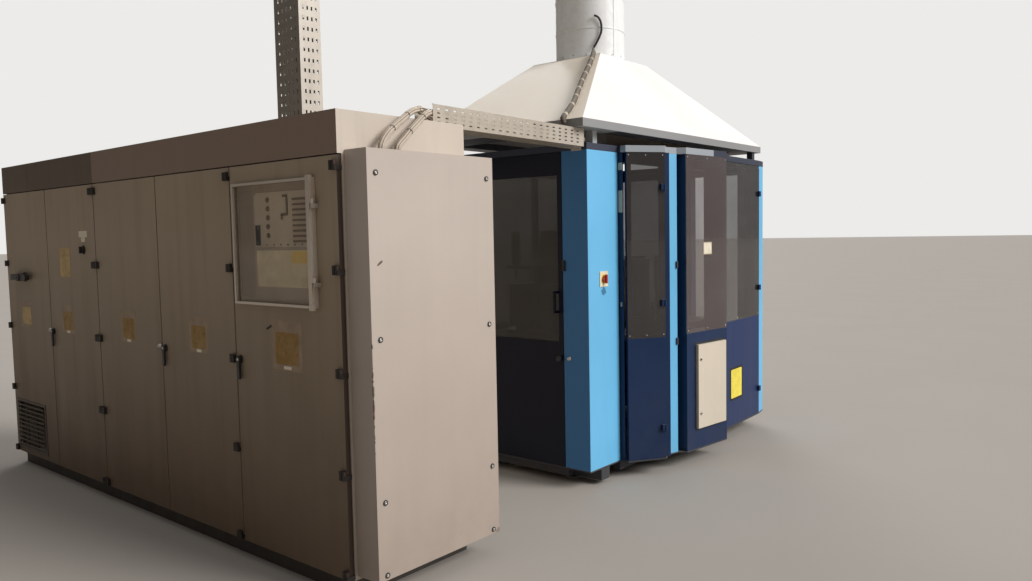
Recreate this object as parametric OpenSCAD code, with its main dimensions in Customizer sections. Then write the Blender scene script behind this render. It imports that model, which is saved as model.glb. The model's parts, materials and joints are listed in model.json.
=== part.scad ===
// Rotary stretch blow moulding machine with its control cabinet, cable tray and extraction hood.
// Millimetres. The object stands on z = 0; its origin is the middle of its footprint.
// +X runs along the cabinet's doors to its beige end, +Y runs away from them.

/* [Control cabinet] */
// Depth of the cabinet's folded carcass
cab_depth = 813; // [600:1:1000]
// Height of the doors and of the carcass
door_h = 2000; // [1800:10:2200]
// Height of the plinth
plinth_h = 100; // [80:5:150]
// How far the plinth stands back from the carcass
plinth_back = 25; // [10:1:60]
// Width of the first door, the one with the isolator
door_1_w = 790; // [700:5:900]
// Width of the second door
door_2_w = 780; // [700:5:900]
// Width of the third door
door_3_w = 830; // [700:5:900]
// Width of the fourth door
door_4_w = 800; // [700:5:900]
// Width of the fifth door, the one with the window
door_5_w = 900; // [840:5:1000]
// Depth of a door's folded pan
door_t = 25; // [20:1:35]
// Sheet that the cabinet and its doors are folded from
sheet = 2.5; // [1.5:0.5:4]
// Gap between a door and the carcass behind it, filled by the seal
seal_gap = 2; // [1.5:0.1:3]
// Gap from a door's edge to the line between two doors
door_gap = 5; // [4.8:0.1:7]
// Width of the carcass's front flanges
flange_w = 40; // [30:1:60]
// Height of the raised roof cap with its fascia
cap_h = 203; // [120:1:260]

/* [Cabinet end cover] */
// How far the end cover stands out
cover_t = 153; // [100:1:220]
// Width of the end cover
cover_w = 848; // [700:1:900]
// How far the end cover starts behind the door fronts
cover_y = 42; // [36:1:70]
// Height of the end cover's lower edge
cover_z = 120; // [60:5:160]
// How much lower the end cover is than a door
cover_less = 0; // [0:10:200]
// Diameter of the end cover's quarter-turn locks
lock_d = 26; // [18:1:36]

/* [Door hardware] */
// Radius of a hinge's barrel
barrel_r = 10; // [8:0.5:10.5]
// Radius of a hinge's pin
pin_r = 4; // [3:0.25:5]
// Height of one of a hinge's two barrels
barrel_h = 22; // [16:1:28]
// Running clearance round pins and under barrels
run_gap = 0.4; // [0.3:0.05:0.6]
// Number of hinges on a cabinet door
hinge_count = 5; // [3:1:6]
// Length of a cabinet door's lever
lever_l = 96; // [70:1:130]
// Length of the main isolator's lever
isolator_l = 300; // [220:5:340]
// How far the main isolator's lever stands out of its door
isolator_out = 62; // [50:1:80]
// Diameter of the selector knob
knob_d = 46; // [30:1:60]

/* [Operator window] */
// Width of the window's frame
win_w = 680; // [600:5:720]
// Height of the window's frame
win_h = 618; // [500:5:700]
// Distance of the window's frame from the doors' upper line
win_drop = 95; // [60:5:200]
// Distance of the window's hinge side from the cabinet's end
win_from_end = 170; // [140:1:180]
// Width of the window's frame bar
win_bar = 13; // [12:1:40]
// Width of the frame bar on the hinge side
win_side_bar = 44; // [30:1:60]
// Thickness of the window's frame
win_t = 24; // [18:1:30]

/* [Cable trays] */
// Height of the cable tray's sides
tray_h = 115; // [90:5:130]
// Width of the cable tray
tray_w = 150; // [130:5:180]
// Length of the cable tray
tray_l = 1305; // [1150:5:1330]
// Sheet of both trays
tray_t = 2; // [1.5:0.5:3]
// Angle of the cable tray to the cabinet's end
tray_skew = -2.8; // [-4:0.1:0]
// How far the cable tray's far end lies below the top of the machine's roof plate
tray_low = 30; // [15:1:40]
// Length of a slot in the trays
slot_l = 22; // [12:1:34]
// Width of a slot in the trays
slot_w = 8; // [5:0.5:10]
// Pitch of the slots
slot_pitch = 60; // [40:1:80]
// Width of the riser tray
riser_w = 240; // [180:5:300]
// Depth of the riser tray
riser_d = 150; // [100:5:200]
// Height of the riser tray above the cabinet's roof
riser_h = 1000; // [600:10:1400]
// Diameter of each of the two cable bundles
bundle_d = 34; // [28:1:36]

/* [Machine enclosure] */
// Distance from the door fronts to the enclosure's front wall
guard_y = 2080; // [1900:10:2300]
// Distance from the cabinet's end to the enclosure's main side line
guard_in = 70; // [40:5:120]
// Width of the enclosure
guard_w = 1440; // [1410:10:1480]
// Depth of the enclosure
guard_d = 2500; // [2400:10:2700]
// Height of the guards' lower edge
guard_z = 120; // [80:5:160]
// Height of the guards
guard_h = 2145; // [2100:5:2300]
// Height of the lower steel panels' top edge
sill_z = 980; // [950:5:1050]
// Thickness of a guard leaf
leaf_t = 30; // [26:1:36]
// Width of a guard leaf's edge frame
leaf_bar = 36; // [30:1:50]
// Thickness of a smoked pane
pane_t = 6; // [4:0.5:8]
// Side of the guard posts
post = 60; // [50:1:80]
// Height of the front guard's upper band
head_bar = 150; // [40:5:180]
// Thickness of the roof plate's edge band
roof_t = 45; // [30:1:60]
// Width of the light blue corner pillar
pillar_w = 206; // [180:1:230]
// Depth of the light blue corner pillar
pillar_d = 366; // [330:1:400]
// Sheet of the pillar, the strips and the service box
skin = 3; // [2:0.5:4]
// Width of the front guard door
front_door_w = 890; // [700:5:950]
// Width of the angled guard door
angled_door_w = 297; // [260:1:320]
// Angle of the angled guard door to the enclosure's side
angled_door_a = 34; // [25:1:40]
// Width of the light blue strip beside the angled door
strip_w = 104; // [80:1:120]
// Width of the service box
box_w = 530; // [480:1:560]
// Angle of the service box's face
box_a = 6.3; // [0:0.1:8]
// Width of the service box's electrical door
elec_w = 370; // [300:1:380]
// Height of the service box's electrical door
elec_h = 620; // [500:5:650]
// Width of the side guard door
side_door_w = 960; // [900:5:980]

/* [Extraction hood] */
// How much wider the hood's lower edge is than the enclosure
hood_more_w = 97; // [0:1:160]
// How much longer the hood's lower edge is than the enclosure
hood_more_l = 255; // [200:5:290]
// Height of the hood's lip
lip_h = 55; // [40:1:80]
// Height of the lip's lower edge above the roof plate
hood_gap = 90; // [60:5:140]
// Height of the hood's slope
hood_rise = 635; // [500:5:800]
// Width of the hood's top plate
top_w = 660; // [600:5:760]
// Length of the hood's top plate
top_l = 690; // [640:5:900]
// Sheet of the hood
hood_t = 3; // [2:0.5:5]
// Outer diameter of the round duct
duct_d = 558; // [500:2:600]
// Height of the duct above the hood's top plate
duct_h = 800; // [600:10:1000]
// Wall of the duct
duct_t = 3; // [2:0.5:4]
// Radial width of the duct's flange
duct_flange = 50; // [40:1:60]
// Number of bolt holes in the duct's flange
duct_bolts = 12; // [8:2:16]
// Diameter of the bolt holes in the duct's flange
duct_bolt_d = 11; // [9:1:13]
// Outer diameter of the flexible conduit on the hood
conduit_d = 38; // [30:1:45]

/* [Machine inside] */
// Height of the machine's table
table_z = 940; // [850:5:1000]
// Thickness of the machine's table
table_t = 40; // [25:1:60]
// Side of the table's legs and of the base beams
beam = 100; // [80:5:120]
// Clear height under the base beams
feet_h = 30; // [20:1:50]
// Radius of the heating wheel
heat_r = 400; // [340:5:410]
// Number of mandrels on the heating wheel
mandrels = 18; // [12:2:24]
// Height of an oven module
oven_h = 560; // [480:10:600]
// Radius of the transfer star
star_r = 120; // [100:1:130]
// Radius of the blow wheel's plates
blow_r = 330; // [310:5:350]
// Number of blow stations
stations = 4; // [3:1:4]
// Height of a mould
mould_h = 320; // [250:5:360]
// Radius of the bottle cavity in a mould
cavity_r = 36; // [30:1:42]

/* [Hidden] */
$fn = 40;

// Paint colours
beige = "#b9ad9f";
brown_grey = "#7d7165";
charcoal = "#4a4640";
light_blue = "#6fb4d6";
dark_blue = "#2c3852";
hood_white = "#ece4d8";
galvanised = "#c3bdb3";
black = "#1d1b1a";
smoked = "#4b4744";

// Positions of the cabinet, measured from its door fronts and its right end
door_w = [door_1_w, door_2_w, door_3_w, door_4_w, door_5_w];
function door_left(i) = i == 4 ? -door_w[4] : door_left(i + 1) - door_w[i];
cab_len = -door_left(0);
bay_edges = [-cab_len, door_left(2), door_left(4), 0];
cover_h = door_h - cover_less;
cover_top = cover_z + cover_h;
carcass_y = door_t + seal_gap;
cab_back = carcass_y + cab_depth;
cab_top = plinth_h + door_h;
roof_z = cab_top + cap_h;
cap_joint = door_left(2);

// Hinges stand this far from the door's edge line and in front of the door's face
hinge_x = door_gap + 7;
hinge_y = -(barrel_r + 1);
tongue = 4;
hinge_step = (door_h - 80) / (hinge_count - 1);
hinge_zs = [for (k = [0 : hinge_count - 1]) plinth_h + 30 + k * hinge_step];
// Each door's hinged edge: -1 on its left, 1 on its right
hinge_side = [-1, 1, -1, 1, 1];
latch_z = plinth_h + door_h * 0.495;

// Positions of the enclosure
guard_x1 = -guard_in;
guard_x0 = guard_x1 - guard_w;
guard_y1 = guard_y + guard_d;
guard_top = guard_z + guard_h;
deck_z = guard_top + roof_t;
pillar_y1 = guard_y + pillar_d;
// Each guard element: start x, start y, angle from +Y, width
angled = [guard_x1 + 67, pillar_y1, angled_door_a, angled_door_w];
function along(p, s, out = 0) = [p[0] + s * sin(p[2]) + out * cos(p[2]), p[1] + s * cos(p[2]) - out * sin(p[2])];
angled_end = along(angled, angled_door_w);
strip = [angled_end[0] - 40, angled_end[1] + 86, 14, strip_w];
strip_end = along(strip, strip_w);
box = [strip_end[0] + 55, strip_end[1] + 39, box_a, box_w];
box_end = along(box, box_w);
side_gap = 34;
side = [guard_x1 + 203, box_end[1] + side_gap, -2.5, side_door_w];
side_end = along(side, side_door_w);
end_strip = [side_end[0] - 4, side_end[1] + 8, -10, guard_y1 - side_end[1] - 8];
end_x = along(end_strip, end_strip[3])[0];
// Outline of the roof plate and the top rails
outline = [[guard_x0, guard_y], [guard_x1, guard_y], [guard_x1, pillar_y1], [angled[0], angled[1]],
    angled_end, [strip[0], strip[1]], strip_end, [box[0], box[1]], box_end,
    [side[0], box_end[1] + 12], [side[0], side[1]], side_end, [end_x, guard_y1], [guard_x0, guard_y1]];
well = 150;
front_door_x = guard_x1 - pillar_w - front_door_w - 2 * door_gap;
rail_in = leaf_t + 2;
sill_t = 10;

// Positions of the hood
hood_w = guard_w + hood_more_w;
hood_l = guard_d + hood_more_l;
hood_x1 = -20;
hood_x0 = hood_x1 - hood_w;
hood_y0 = guard_y - 110;
hood_y1 = hood_y0 + hood_l;
hood_z = deck_z + hood_gap;
slope_z = hood_z + lip_h;
hood_top = slope_z + hood_rise;
duct_c = [hood_x0 + hood_w * 0.437, hood_y0 + hood_l * 0.4922];
top_t = 3;
duct_top = hood_top + top_t + duct_h;
duct_pcd = duct_d + duct_flange;

// Positions of the wheels, in one line along the table
base_x0 = guard_x0 + 130;
base_x1 = guard_x1 - pillar_w - 30;
base_y0 = guard_y + 130;
base_y1 = guard_y1 - 130;
mould_at = 250;
swing_r = 430;
wheel_gap = 12;
blow_c = [(base_x0 + base_x1) / 2, base_y0 + swing_r + 20];
star_c = [blow_c[0], blow_c[1] + swing_r + star_r + wheel_gap];
heat_c = [blow_c[0], star_c[1] + star_r + wheel_gap + heat_r];
wheel_z = table_z + 20;
mould_z = wheel_z + 60;
mould_top = mould_z + mould_h;

// The footprint's middle is the origin
elec_out = 22;
elec_mid = box_w / 2 + 35;
x_low = -cab_len;
x_high = along(box, elec_mid + elec_w / 2, elec_out)[0];
y_low = -isolator_out;
shift = [-(x_low + x_high) / 2, -(y_low + hood_y1) / 2, 0];

module place(tone) {
    translate(shift) color(tone) children();
}
// Puts a leaf's own frame (x along it, -y outwards) on a guard element
module on_guard(p, s = 0, out = 0) {
    q = along(p, s, out);
    translate([q[0], q[1], 0]) rotate([0, 0, 90 - p[2]]) children();
}
module box3(lo, hi) {
    translate(lo) cube(hi - lo);
}
// A folded pan: front sheet and four returns, open at the back
module pan(w, d, h, t) {
    difference() {
        cube([w, d, h]);
        translate([t, t, t]) cube([w - 2 * t, d, h - 2 * t]);
    }
}

// Fixed half of a hinge: lower barrel, its pin, and the tongue back to the frame
module hinge_fixed(reach) {
    translate([0, 0, -barrel_h]) {
        cylinder(r = barrel_r, h = barrel_h - run_gap);
        translate([0, 0, 1]) cylinder(r = pin_r, h = 2 * barrel_h - 4);
        translate([0, -barrel_r * 0.6, 0]) cube([hinge_x, barrel_r * 1.2, barrel_h - run_gap]);
        translate([hinge_x - tongue, 0, 0]) cube([tongue, reach - hinge_y, barrel_h - run_gap]);
    }
}
// Moving half of a hinge: upper barrel with its bore and the block on the door's face
module hinge_leaf() {
    difference() {
        union() {
            cylinder(r = barrel_r, h = barrel_h);
            translate([-24, -barrel_r * 0.6, 0]) cube([24, barrel_r * 1.6 + 1, barrel_h]);
            translate([-24, 0, 0]) cube([24 + barrel_r * 0.6, -hinge_y, barrel_h]);
            translate([-28, -barrel_r * 0.8, -barrel_h]) cube([28 - barrel_r - 1.5, barrel_r * 0.8 - hinge_y, 2 * barrel_h]);
        }
        translate([0, 0, -1]) cylinder(r = pin_r + run_gap, h = barrel_h + 2);
    }
}
// Puts hinge halves at their heights along a vertical edge, which faces side
module hinge_row(edge_x, side, zs) {
    for (z = zs) translate([edge_x, hinge_y, z]) mirror([side < 0 ? 1 : 0, 0, 0])
        translate([-hinge_x, 0, 0]) children();
}

module cabinet_plinth() {
    y0 = carcass_y + plinth_back;
    y1 = cab_back - plinth_back;
    x0 = -cab_len + plinth_back;
    x1 = -plinth_back;
    place(black) difference() {
        box3([x0, y0, 0], [x1, y1, plinth_h]);
        for (b = [0 : 2]) box3([max(bay_edges[b] + 40, x0 + 40), y0 + 40, -1],
            [min(bay_edges[b + 1] - 40, x1 - 40), y1 - 40, plinth_h + 1]);
    }
}

module cabinet_carcass() {
    s = sheet;
    place(brown_grey) difference() {
        box3([-cab_len, carcass_y, plinth_h], [0, cab_back, cab_top]);
        for (b = [0 : 2]) {
            x0 = bay_edges[b];
            x1 = bay_edges[b + 1];
            box3([x0 + s, carcass_y + s, plinth_h + s], [x1 - s, cab_back - s, cab_top - s]);
            box3([x0 + flange_w, carcass_y - 1, plinth_h + flange_w],
                [x1 - flange_w, carcass_y + s + 1, cab_top - flange_w]);
        }
        // Cable way into the end cover
        box3([-s - 1, cab_back - 600, cab_top - 320], [1, cab_back - 200, cab_top - 120]);
    }
}

module roof_cap(x0, x1) {
    s = sheet;
    difference() {
        box3([x0, 0, cab_top], [x1, cab_back, roof_z]);
        box3([x0 + s, s, cab_top - 1], [x1 - s, cab_back - s, roof_z - s]);
        // The fascia's lower edge clears the doors below it
        box3([x0 - 1, -1, cab_top - 1], [x1 + 1, carcass_y, cab_top + 3]);
    }
}
module roof_cap_left() {
    place(charcoal) roof_cap(-cab_len, cap_joint);
}
module roof_cap_right() {
    place(brown_grey) roof_cap(cap_joint, 0);
}

// Heights and places of the end cover's locks
lock_rows = [cover_h * 0.945, cover_h * 0.565, cover_h * 0.185];
lock_in = 50;
cable_slot = [30, 124, cab_back - 710, cab_back - 460];
module end_cover() {
    s = sheet;
    place(beige) translate([0, cover_y, cover_z]) difference() {
        cube([cover_t, cover_w, cover_h]);
        translate([-1, s, s]) cube([cover_t - s + 1, cover_w - 2 * s, cover_h - 2 * s]);
        // Slot in the top for the cable bundles
        translate([cable_slot[0], cable_slot[2] - cover_y, cover_h - s - 1])
            cube([cable_slot[1] - cable_slot[0], cable_slot[3] - cable_slot[2], s + 2]);
    }
}
module end_cover_locks() {
    place("#3a3632") for (z = concat(lock_rows, [12 + lock_d / 2]), y = [lock_in, cover_w - lock_in])
        translate([cover_t, cover_y + y, cover_z + z]) rotate([0, 90, 0]) difference() {
            cylinder(d = lock_d, h = 5);
            translate([-lock_d, -1.5, 3]) cube([2 * lock_d, 3, 3]);
        }
}

// A cabinet door: a folded pan with the hinge leaves on its hinged edge
module door_body(i) {
    x0 = door_left(i) + door_gap;
    w = door_w[i] - 2 * door_gap;
    edge = hinge_side[i] > 0 ? door_left(i) + door_w[i] : door_left(i);
    translate([x0, 0, plinth_h + 3]) pan(w, door_t, door_h - 6, sheet);
    hinge_row(edge, hinge_side[i], hinge_zs) hinge_leaf();
}
// Round lock body in a door's sheet, which the lever turns on
module lock_body(x) {
    translate([x, 0, latch_z]) rotate([90, 0, 0]) {
        cylinder(d = 44, h = 5);
        cylinder(d = 12, h = 22);
    }
}
latch_x = [0, door_left(1) + 42, 0, door_left(3) + 42, door_left(4) + 42];
module door_1() {
    place(brown_grey) difference() {
        union() {
            door_body(0);
            translate([isolator_x, 0, isolator_z]) rotate([90, 0, 0]) cylinder(d = 70, h = 12);
            translate([isolator_x, 0, isolator_z]) rotate([90, 0, 0]) cylinder(d = 16, h = isolator_out - 4);
        }
        box3([vent_x, -1, vent_z], [vent_x + vent_w, sheet + 1, vent_z + vent_h]);
    }
}
module door_2() {
    place(brown_grey) {
        door_body(1);
        lock_body(latch_x[1]);
        translate([knob_x, 0, knob_z]) rotate([90, 0, 0]) {
            cylinder(d = knob_d + 14, h = 4);
            cylinder(d = 10, h = 20);
        }
    }
}
module door_3() {
    place(brown_grey) door_body(2);
}
module door_4() {
    place(brown_grey) {
        door_body(3);
        lock_body(latch_x[3]);
    }
}
module door_5() {
    place(brown_grey) {
        difference() {
            door_body(4);
            box3([win_x + win_bar, -1, win_z + win_bar],
                [win_x + win_w - win_side_bar, sheet + 1, win_z + win_h - win_bar]);
        }
        lock_body(latch_x[4]);
        // Barrels' fixed halves for the window
        for (z = win_hinges) translate([win_x + win_w + hinge_x, win_axis_y, z])
            translate([0, 0, -barrel_h]) {
                cylinder(r = 7, h = barrel_h - run_gap);
                translate([0, 0, 1]) cylinder(r = 3, h = 2 * barrel_h - 4);
                translate([-2, 0, 0]) cube([12, -win_axis_y, barrel_h - run_gap]);
            }
    }
}

module hinge_posts() {
    place(black) for (i = [0 : 4])
        hinge_row(hinge_side[i] > 0 ? door_left(i) + door_w[i] : door_left(i), hinge_side[i], hinge_zs)
            hinge_fixed(carcass_y);
}

// A door's lever on its lock body
module latch(i) {
    place("#2a2826") translate([latch_x[i], -5 - run_gap, latch_z]) rotate([90, 0, 0]) difference() {
        union() {
            cylinder(d = 34, h = 16);
            translate([-11, -lever_l, 4]) cube([22, lever_l, 12]);
            translate([0, -lever_l, 4]) cylinder(d = 22, h = 12);
        }
        translate([0, 0, -1]) cylinder(d = 12 + 2 * run_gap, h = 20);
    }
}
module latch_2() { latch(1); }
module latch_4() { latch(3); }
module latch_5() { latch(4); }

// Main isolator on the first door
isolator_x = door_left(0) + 360;
isolator_z = plinth_h + door_h * 0.685;
module isolator_lever() {
    place(black) translate([isolator_x, -12 - run_gap, isolator_z]) rotate([90, 0, 0]) difference() {
        union() {
            cylinder(d = 56, h = isolator_out - 12 - run_gap);
            translate([-isolator_l / 2, -22, 12]) cube([isolator_l - 40, 44, 30]);
            translate([isolator_l / 2 - 40, 0, 12]) cylinder(d = 44, h = 30);
        }
        translate([0, 0, -1]) cylinder(d = 16 + 2 * run_gap, h = isolator_out);
    }
}
knob_x = door_left(1) + 600;
knob_z = plinth_h + door_h * 0.785;
module selector_knob() {
    place(black) translate([knob_x, -4 - run_gap, knob_z]) rotate([90, 0, 0]) difference() {
        union() {
            cylinder(d = knob_d, h = 14);
            translate([-5, -knob_d / 2, 12]) cube([10, knob_d, 14]);
        }
        translate([0, 0, -1]) cylinder(d = 10 + 2 * run_gap, h = 18);
    }
}

// Ventilation grille low on the first door
vent_w = 520;
vent_h = 360;
vent_x = door_left(0) + 60;
vent_z = plinth_h + 50;
module vent_grille() {
    place(charcoal) translate([vent_x, -4, vent_z]) {
        difference() {
            translate([-12, 0, -12]) cube([vent_w + 24, 4, vent_h + 24]);
            translate([8, -1, 8]) cube([vent_w - 16, 6, vent_h - 16]);
        }
        for (k = [0 : 9]) translate([8, 0, 12 + k * (vent_h - 20) / 10])
            rotate([35, 0, 0]) cube([vent_w - 16, 3, 22]);
        for (x = [vent_w * 0.33, vent_w * 0.67]) translate([x, 2, 8]) cube([8, 6, vent_h - 16]);
    }
}

// Operator window: a framed pane hinged on its right, in front of the operator panel
win_x = -win_from_end - win_w;
win_z = cab_top - win_drop - win_h;
win_axis_y = -(win_t + 5);
win_hinges = [win_z + win_h * 0.2, win_z + win_h * 0.8];
module window_frame() {
    place("#b5b6b6") {
        difference() {
            box3([win_x, -0.6 - win_t, win_z], [win_x + win_w, -0.6, win_z + win_h]);
            box3([win_x + win_bar, -win_t - 2, win_z + win_bar],
                [win_x + win_w - win_side_bar, 0, win_z + win_h - win_bar]);
            box3([win_x + win_bar - 8, -0.6 - win_t / 2, win_z + win_bar - 8],
                [win_x + win_w - win_side_bar + 8, 0, win_z + win_h - win_bar + 8]);
        }
        // Raised grip bar on the hinge side, with its end caps
        box3([win_x + win_w - 24, -win_t - 10, win_z - 5], [win_x + win_w - 4, -win_t, win_z + win_h + 5]);
        for (z = [win_z - 9, win_z + win_h - 17]) box3([win_x + win_w - 27, -win_t - 13, z],
            [win_x + win_w - 1, -win_t + 8, z + 26]);
        for (z = win_hinges) translate([win_x + win_w + hinge_x, win_axis_y, z]) difference() {
            union() {
                cylinder(r = 7, h = barrel_h);
                translate([-hinge_x - 12, -4, 0]) cube([hinge_x + 12, 8.4, barrel_h]);
            }
            translate([0, 0, -1]) cylinder(r = 3 + run_gap, h = barrel_h + 2);
        }
    }
}
module window_pane() {
    place(smoked) box3([win_x + win_bar - 7.5, -0.6 - win_t / 2, win_z + win_bar - 7.5],
        [win_x + win_w - win_side_bar + 7.5, 3.4 - win_t / 2, win_z + win_h - win_bar + 7.5]);
}
module operator_panel() {
    x0 = win_x + win_bar - 5;
    w = win_w - win_bar - win_side_bar + 23;
    z0 = win_z + win_bar - 5;
    h = win_h - 2 * win_bar + 10;
    place("#8c857a") translate([x0, sheet, z0]) {
        difference() {
            union() {
                cube([w, 14, h]);
                translate([w * 0.25, -1.5, h * 0.47]) cube([w * 0.72, 4, h * 0.457]);
                translate([w * 0.262, -1, h * 0.138]) cube([w * 0.705, 4, h * 0.309]);
            }
            translate([w * 0.03, -1, h * 0.05]) cube([w * 0.2, 3, h * 0.9]);
            translate([w * 0.26, -2, h * 0.483]) cube([w * 0.07, 3, h * 0.173]);
        }
        // A column of round keys, and the column of bar keys at the right
        for (r = [0 : 4]) translate([w * 0.438, 0, h * (0.86 - r * 0.073)]) rotate([90, 0, 0]) cylinder(r = 12, h = 5);
        for (r = [0 : 8]) translate([w * 0.765, -4, h * (0.846 - r * 0.0422)]) cube([w * 0.19, 4, h * 0.0165]);
    }
}

// Gear inside the cabinet, on one mounting plate a bay
plate_y = cab_back - sheet - 60;
module mounting_plates() {
    place("#d9d6cc") for (b = [0 : 2]) {
        x0 = bay_edges[b] + flange_w + 10;
        x1 = bay_edges[b + 1] - flange_w - 10;
        box3([x0, plate_y, plinth_h + 80], [x1, plate_y + 3, cab_top - 80]);
        for (x = [x0 + 30, x1 - 60], z = [plinth_h + 120, cab_top - 150])
            box3([x, plate_y + 3, z], [x + 30, cab_back - sheet, z + 30]);
        // Slotted wiring ducts across the plate
        for (f = [0.24, 0.47, 0.7, 0.91])
            box3([x0 + 20, plate_y - 60, plinth_h + f * door_h], [x1 - 20, plate_y, plinth_h + f * door_h + 50]);
    }
}
rail_zs = [for (f = [0.34, 0.58, 0.79]) plinth_h + f * door_h];
module switchgear() {
    place("#3c3f42") for (b = [0 : 2]) {
        x0 = bay_edges[b] + flange_w + 60;
        w = bay_edges[b + 1] - bay_edges[b] - 2 * flange_w - 120;
        count = floor(w / (b == 1 ? 60 : 80));
        for (z = rail_zs) {
            box3([x0, plate_y - 8, z - 17], [x0 + w, plate_y, z + 18]);
            for (k = [0 : count - 1]) translate([x0 + k * w / count, plate_y - 90, z - 45])
                cube([w / count - 6, 82.01, 90]);
        }
    }
}
module drive_modules() {
    place("#5b6066") for (b = [0 : 2]) {
        x0 = bay_edges[b] + flange_w + 60;
        w = bay_edges[b + 1] - bay_edges[b] - 2 * flange_w - 120;
        count = floor(w / 180);
        for (k = [0 : count - 1]) translate([x0 + k * w / count, plate_y - 220, plinth_h + 0.065 * door_h]) {
            cube([w / count - 25, 220, 0.15 * door_h]);
            translate([15, -6, 0.09 * door_h]) cube([w / count - 55, 6, 0.045 * door_h]);
        }
    }
}

// One side of a tray with its rows of slots
module slotted(l, h, rows) {
    count = floor((l - 40) / slot_pitch);
    difference() {
        square([l, h]);
        for (k = [0 : count - 1], r = [1 : rows])
            translate([30 + k * slot_pitch, r * h / (rows + 1) - slot_w / 2]) square([slot_l, slot_w]);
    }
}
tray_seat = 4;
tray_start = [-140, cab_back - 85, roof_z + tray_seat];
tray_fall = asin((tray_start[2] - deck_z + tray_low) / tray_l);
module on_tray() {
    translate(tray_start) rotate([0, 0, 90 + tray_skew]) rotate([0, tray_fall, 0]) children();
}
// A bundle's centre in the tray, and the same above the roof plate where it goes in under the hood
function in_tray(along, across, up = 0) = let (r = tray_t + bundle_d / 2 + 1 + up,
        run = along * cos(tray_fall) + r * sin(tray_fall))
    [tray_start[0] - run * sin(tray_skew) - across * cos(tray_skew),
        tray_start[1] + run * cos(tray_skew) - across * sin(tray_skew),
        tray_start[2] + r * cos(tray_fall) - along * sin(tray_fall)];
function on_deck(y, across) = [in_tray(tray_l, across)[0] - 0.1 * y, guard_y + y, deck_z + bundle_d / 2 + 8];
module cable_tray() {
    place(galvanised) on_tray() {
        cube([tray_l, tray_w, tray_t]);
        for (y = [tray_t, tray_w]) translate([0, y, 0]) rotate([90, 0, 0])
            linear_extrude(tray_t) slotted(tray_l, tray_h, 4);
        for (y = [0, tray_w - 10]) translate([0, y, tray_h - tray_t]) cube([tray_l, 10, tray_t]);
    }
}
// Feet and brackets of the trays
module tray_brackets() {
    far = in_tray(tray_l, tray_w / 2);
    far_z = tray_start[2] - tray_l * sin(tray_fall) - max(0, -85 * tan(tray_fall));
    place(galvanised) {
        // Packer under the start of the tray, on the roof
        box3([tray_start[0] - tray_w + 10, tray_start[1] + 15, roof_z],
            [tray_start[0] - 10, tray_start[1] + 55, roof_z + tray_seat - 0.1 - 55 * tan(tray_fall)]);
        // Angle from the enclosure's roof edge to the tray's far end
        box3([far[0] - 40, far[1] - 80, far_z - 6], [far[0] + 40, guard_y, far_z - 0.2]);
        box3([far[0] - 40, guard_y - 5, min(far_z, deck_z - 20) - 20], [far[0] + 40, guard_y, far_z - 5]);
        // Angles that hold the riser to the roof
        for (m = [0, 1]) translate([riser_x + riser_w / 2, riser_y, roof_z]) mirror([m, 0, 0])
            translate([riser_w / 2, 0, 0]) {
                cube([4, riser_d, 60]);
                cube([50, riser_d, 4]);
            }
    }
}
riser_x = -1245;
riser_y = 550;
module riser_tray() {
    place(galvanised) translate([riser_x, riser_y, roof_z]) {
        for (y = [tray_t, riser_d]) translate([0, y, 0]) rotate([90, 0, 0])
            linear_extrude(tray_t) riser_side(riser_w, 5);
        for (x = [0, riser_w - tray_t]) translate([x, 0, 0]) rotate([90, 0, 90])
            linear_extrude(tray_t) riser_side(riser_d, 4);
    }
}
module riser_side(w, columns) {
    count = floor((riser_h - 90) / slot_pitch);
    difference() {
        square([w, riser_h]);
        for (k = [0 : count - 1], c = [1 : columns])
            translate([c * w / (columns + 1) - slot_w / 2, 80 + k * slot_pitch]) square([slot_w * 1.4, slot_l]);
    }
}

// A round tube swept along points, with rings that share one upright reference
function unit(v) = v / max(norm(v), 0.001);
function tangent(p, i) = unit(p[min(i + 1, len(p) - 1)] - p[max(i - 1, 0)]);
function blend(a, b, c, d, t) = 0.5 * ((2 * b) + (c - a) * t + (2 * a - 5 * b + 4 * c - d) * t * t
    + (3 * b - a - 3 * c + d) * t * t * t);
function smooth_path(p, n) = concat([for (i = [0 : len(p) - 2], k = [0 : n - 1])
    blend(p[max(i - 1, 0)], p[i], p[i + 1], p[min(i + 2, len(p) - 1)], k / n)], [p[len(p) - 1]]);
module sweep(path, r, ref = [1, 0, 0], sides = 8) {
    n = len(path);
    pts = [for (i = [0 : n - 1]) let (t = tangent(path, i), u = unit(cross(t, ref)), v = cross(t, u))
        for (k = [0 : sides - 1]) path[i] + r * (u * cos(360 * k / sides) + v * sin(360 * k / sides))];
    walls = [for (i = [0 : n - 2], k = [0 : sides - 1]) let (m = (k + 1) % sides, a = i * sides, b = a + sides)
        each [[a + k, b + k, b + m], [a + k, b + m, a + m]]];
    polyhedron(points = pts, faces = concat([[for (k = [0 : sides - 1]) k]], walls,
        [[for (k = [sides - 1 : -1 : 0]) (n - 1) * sides + k]]), convexity = 6);
}
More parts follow.
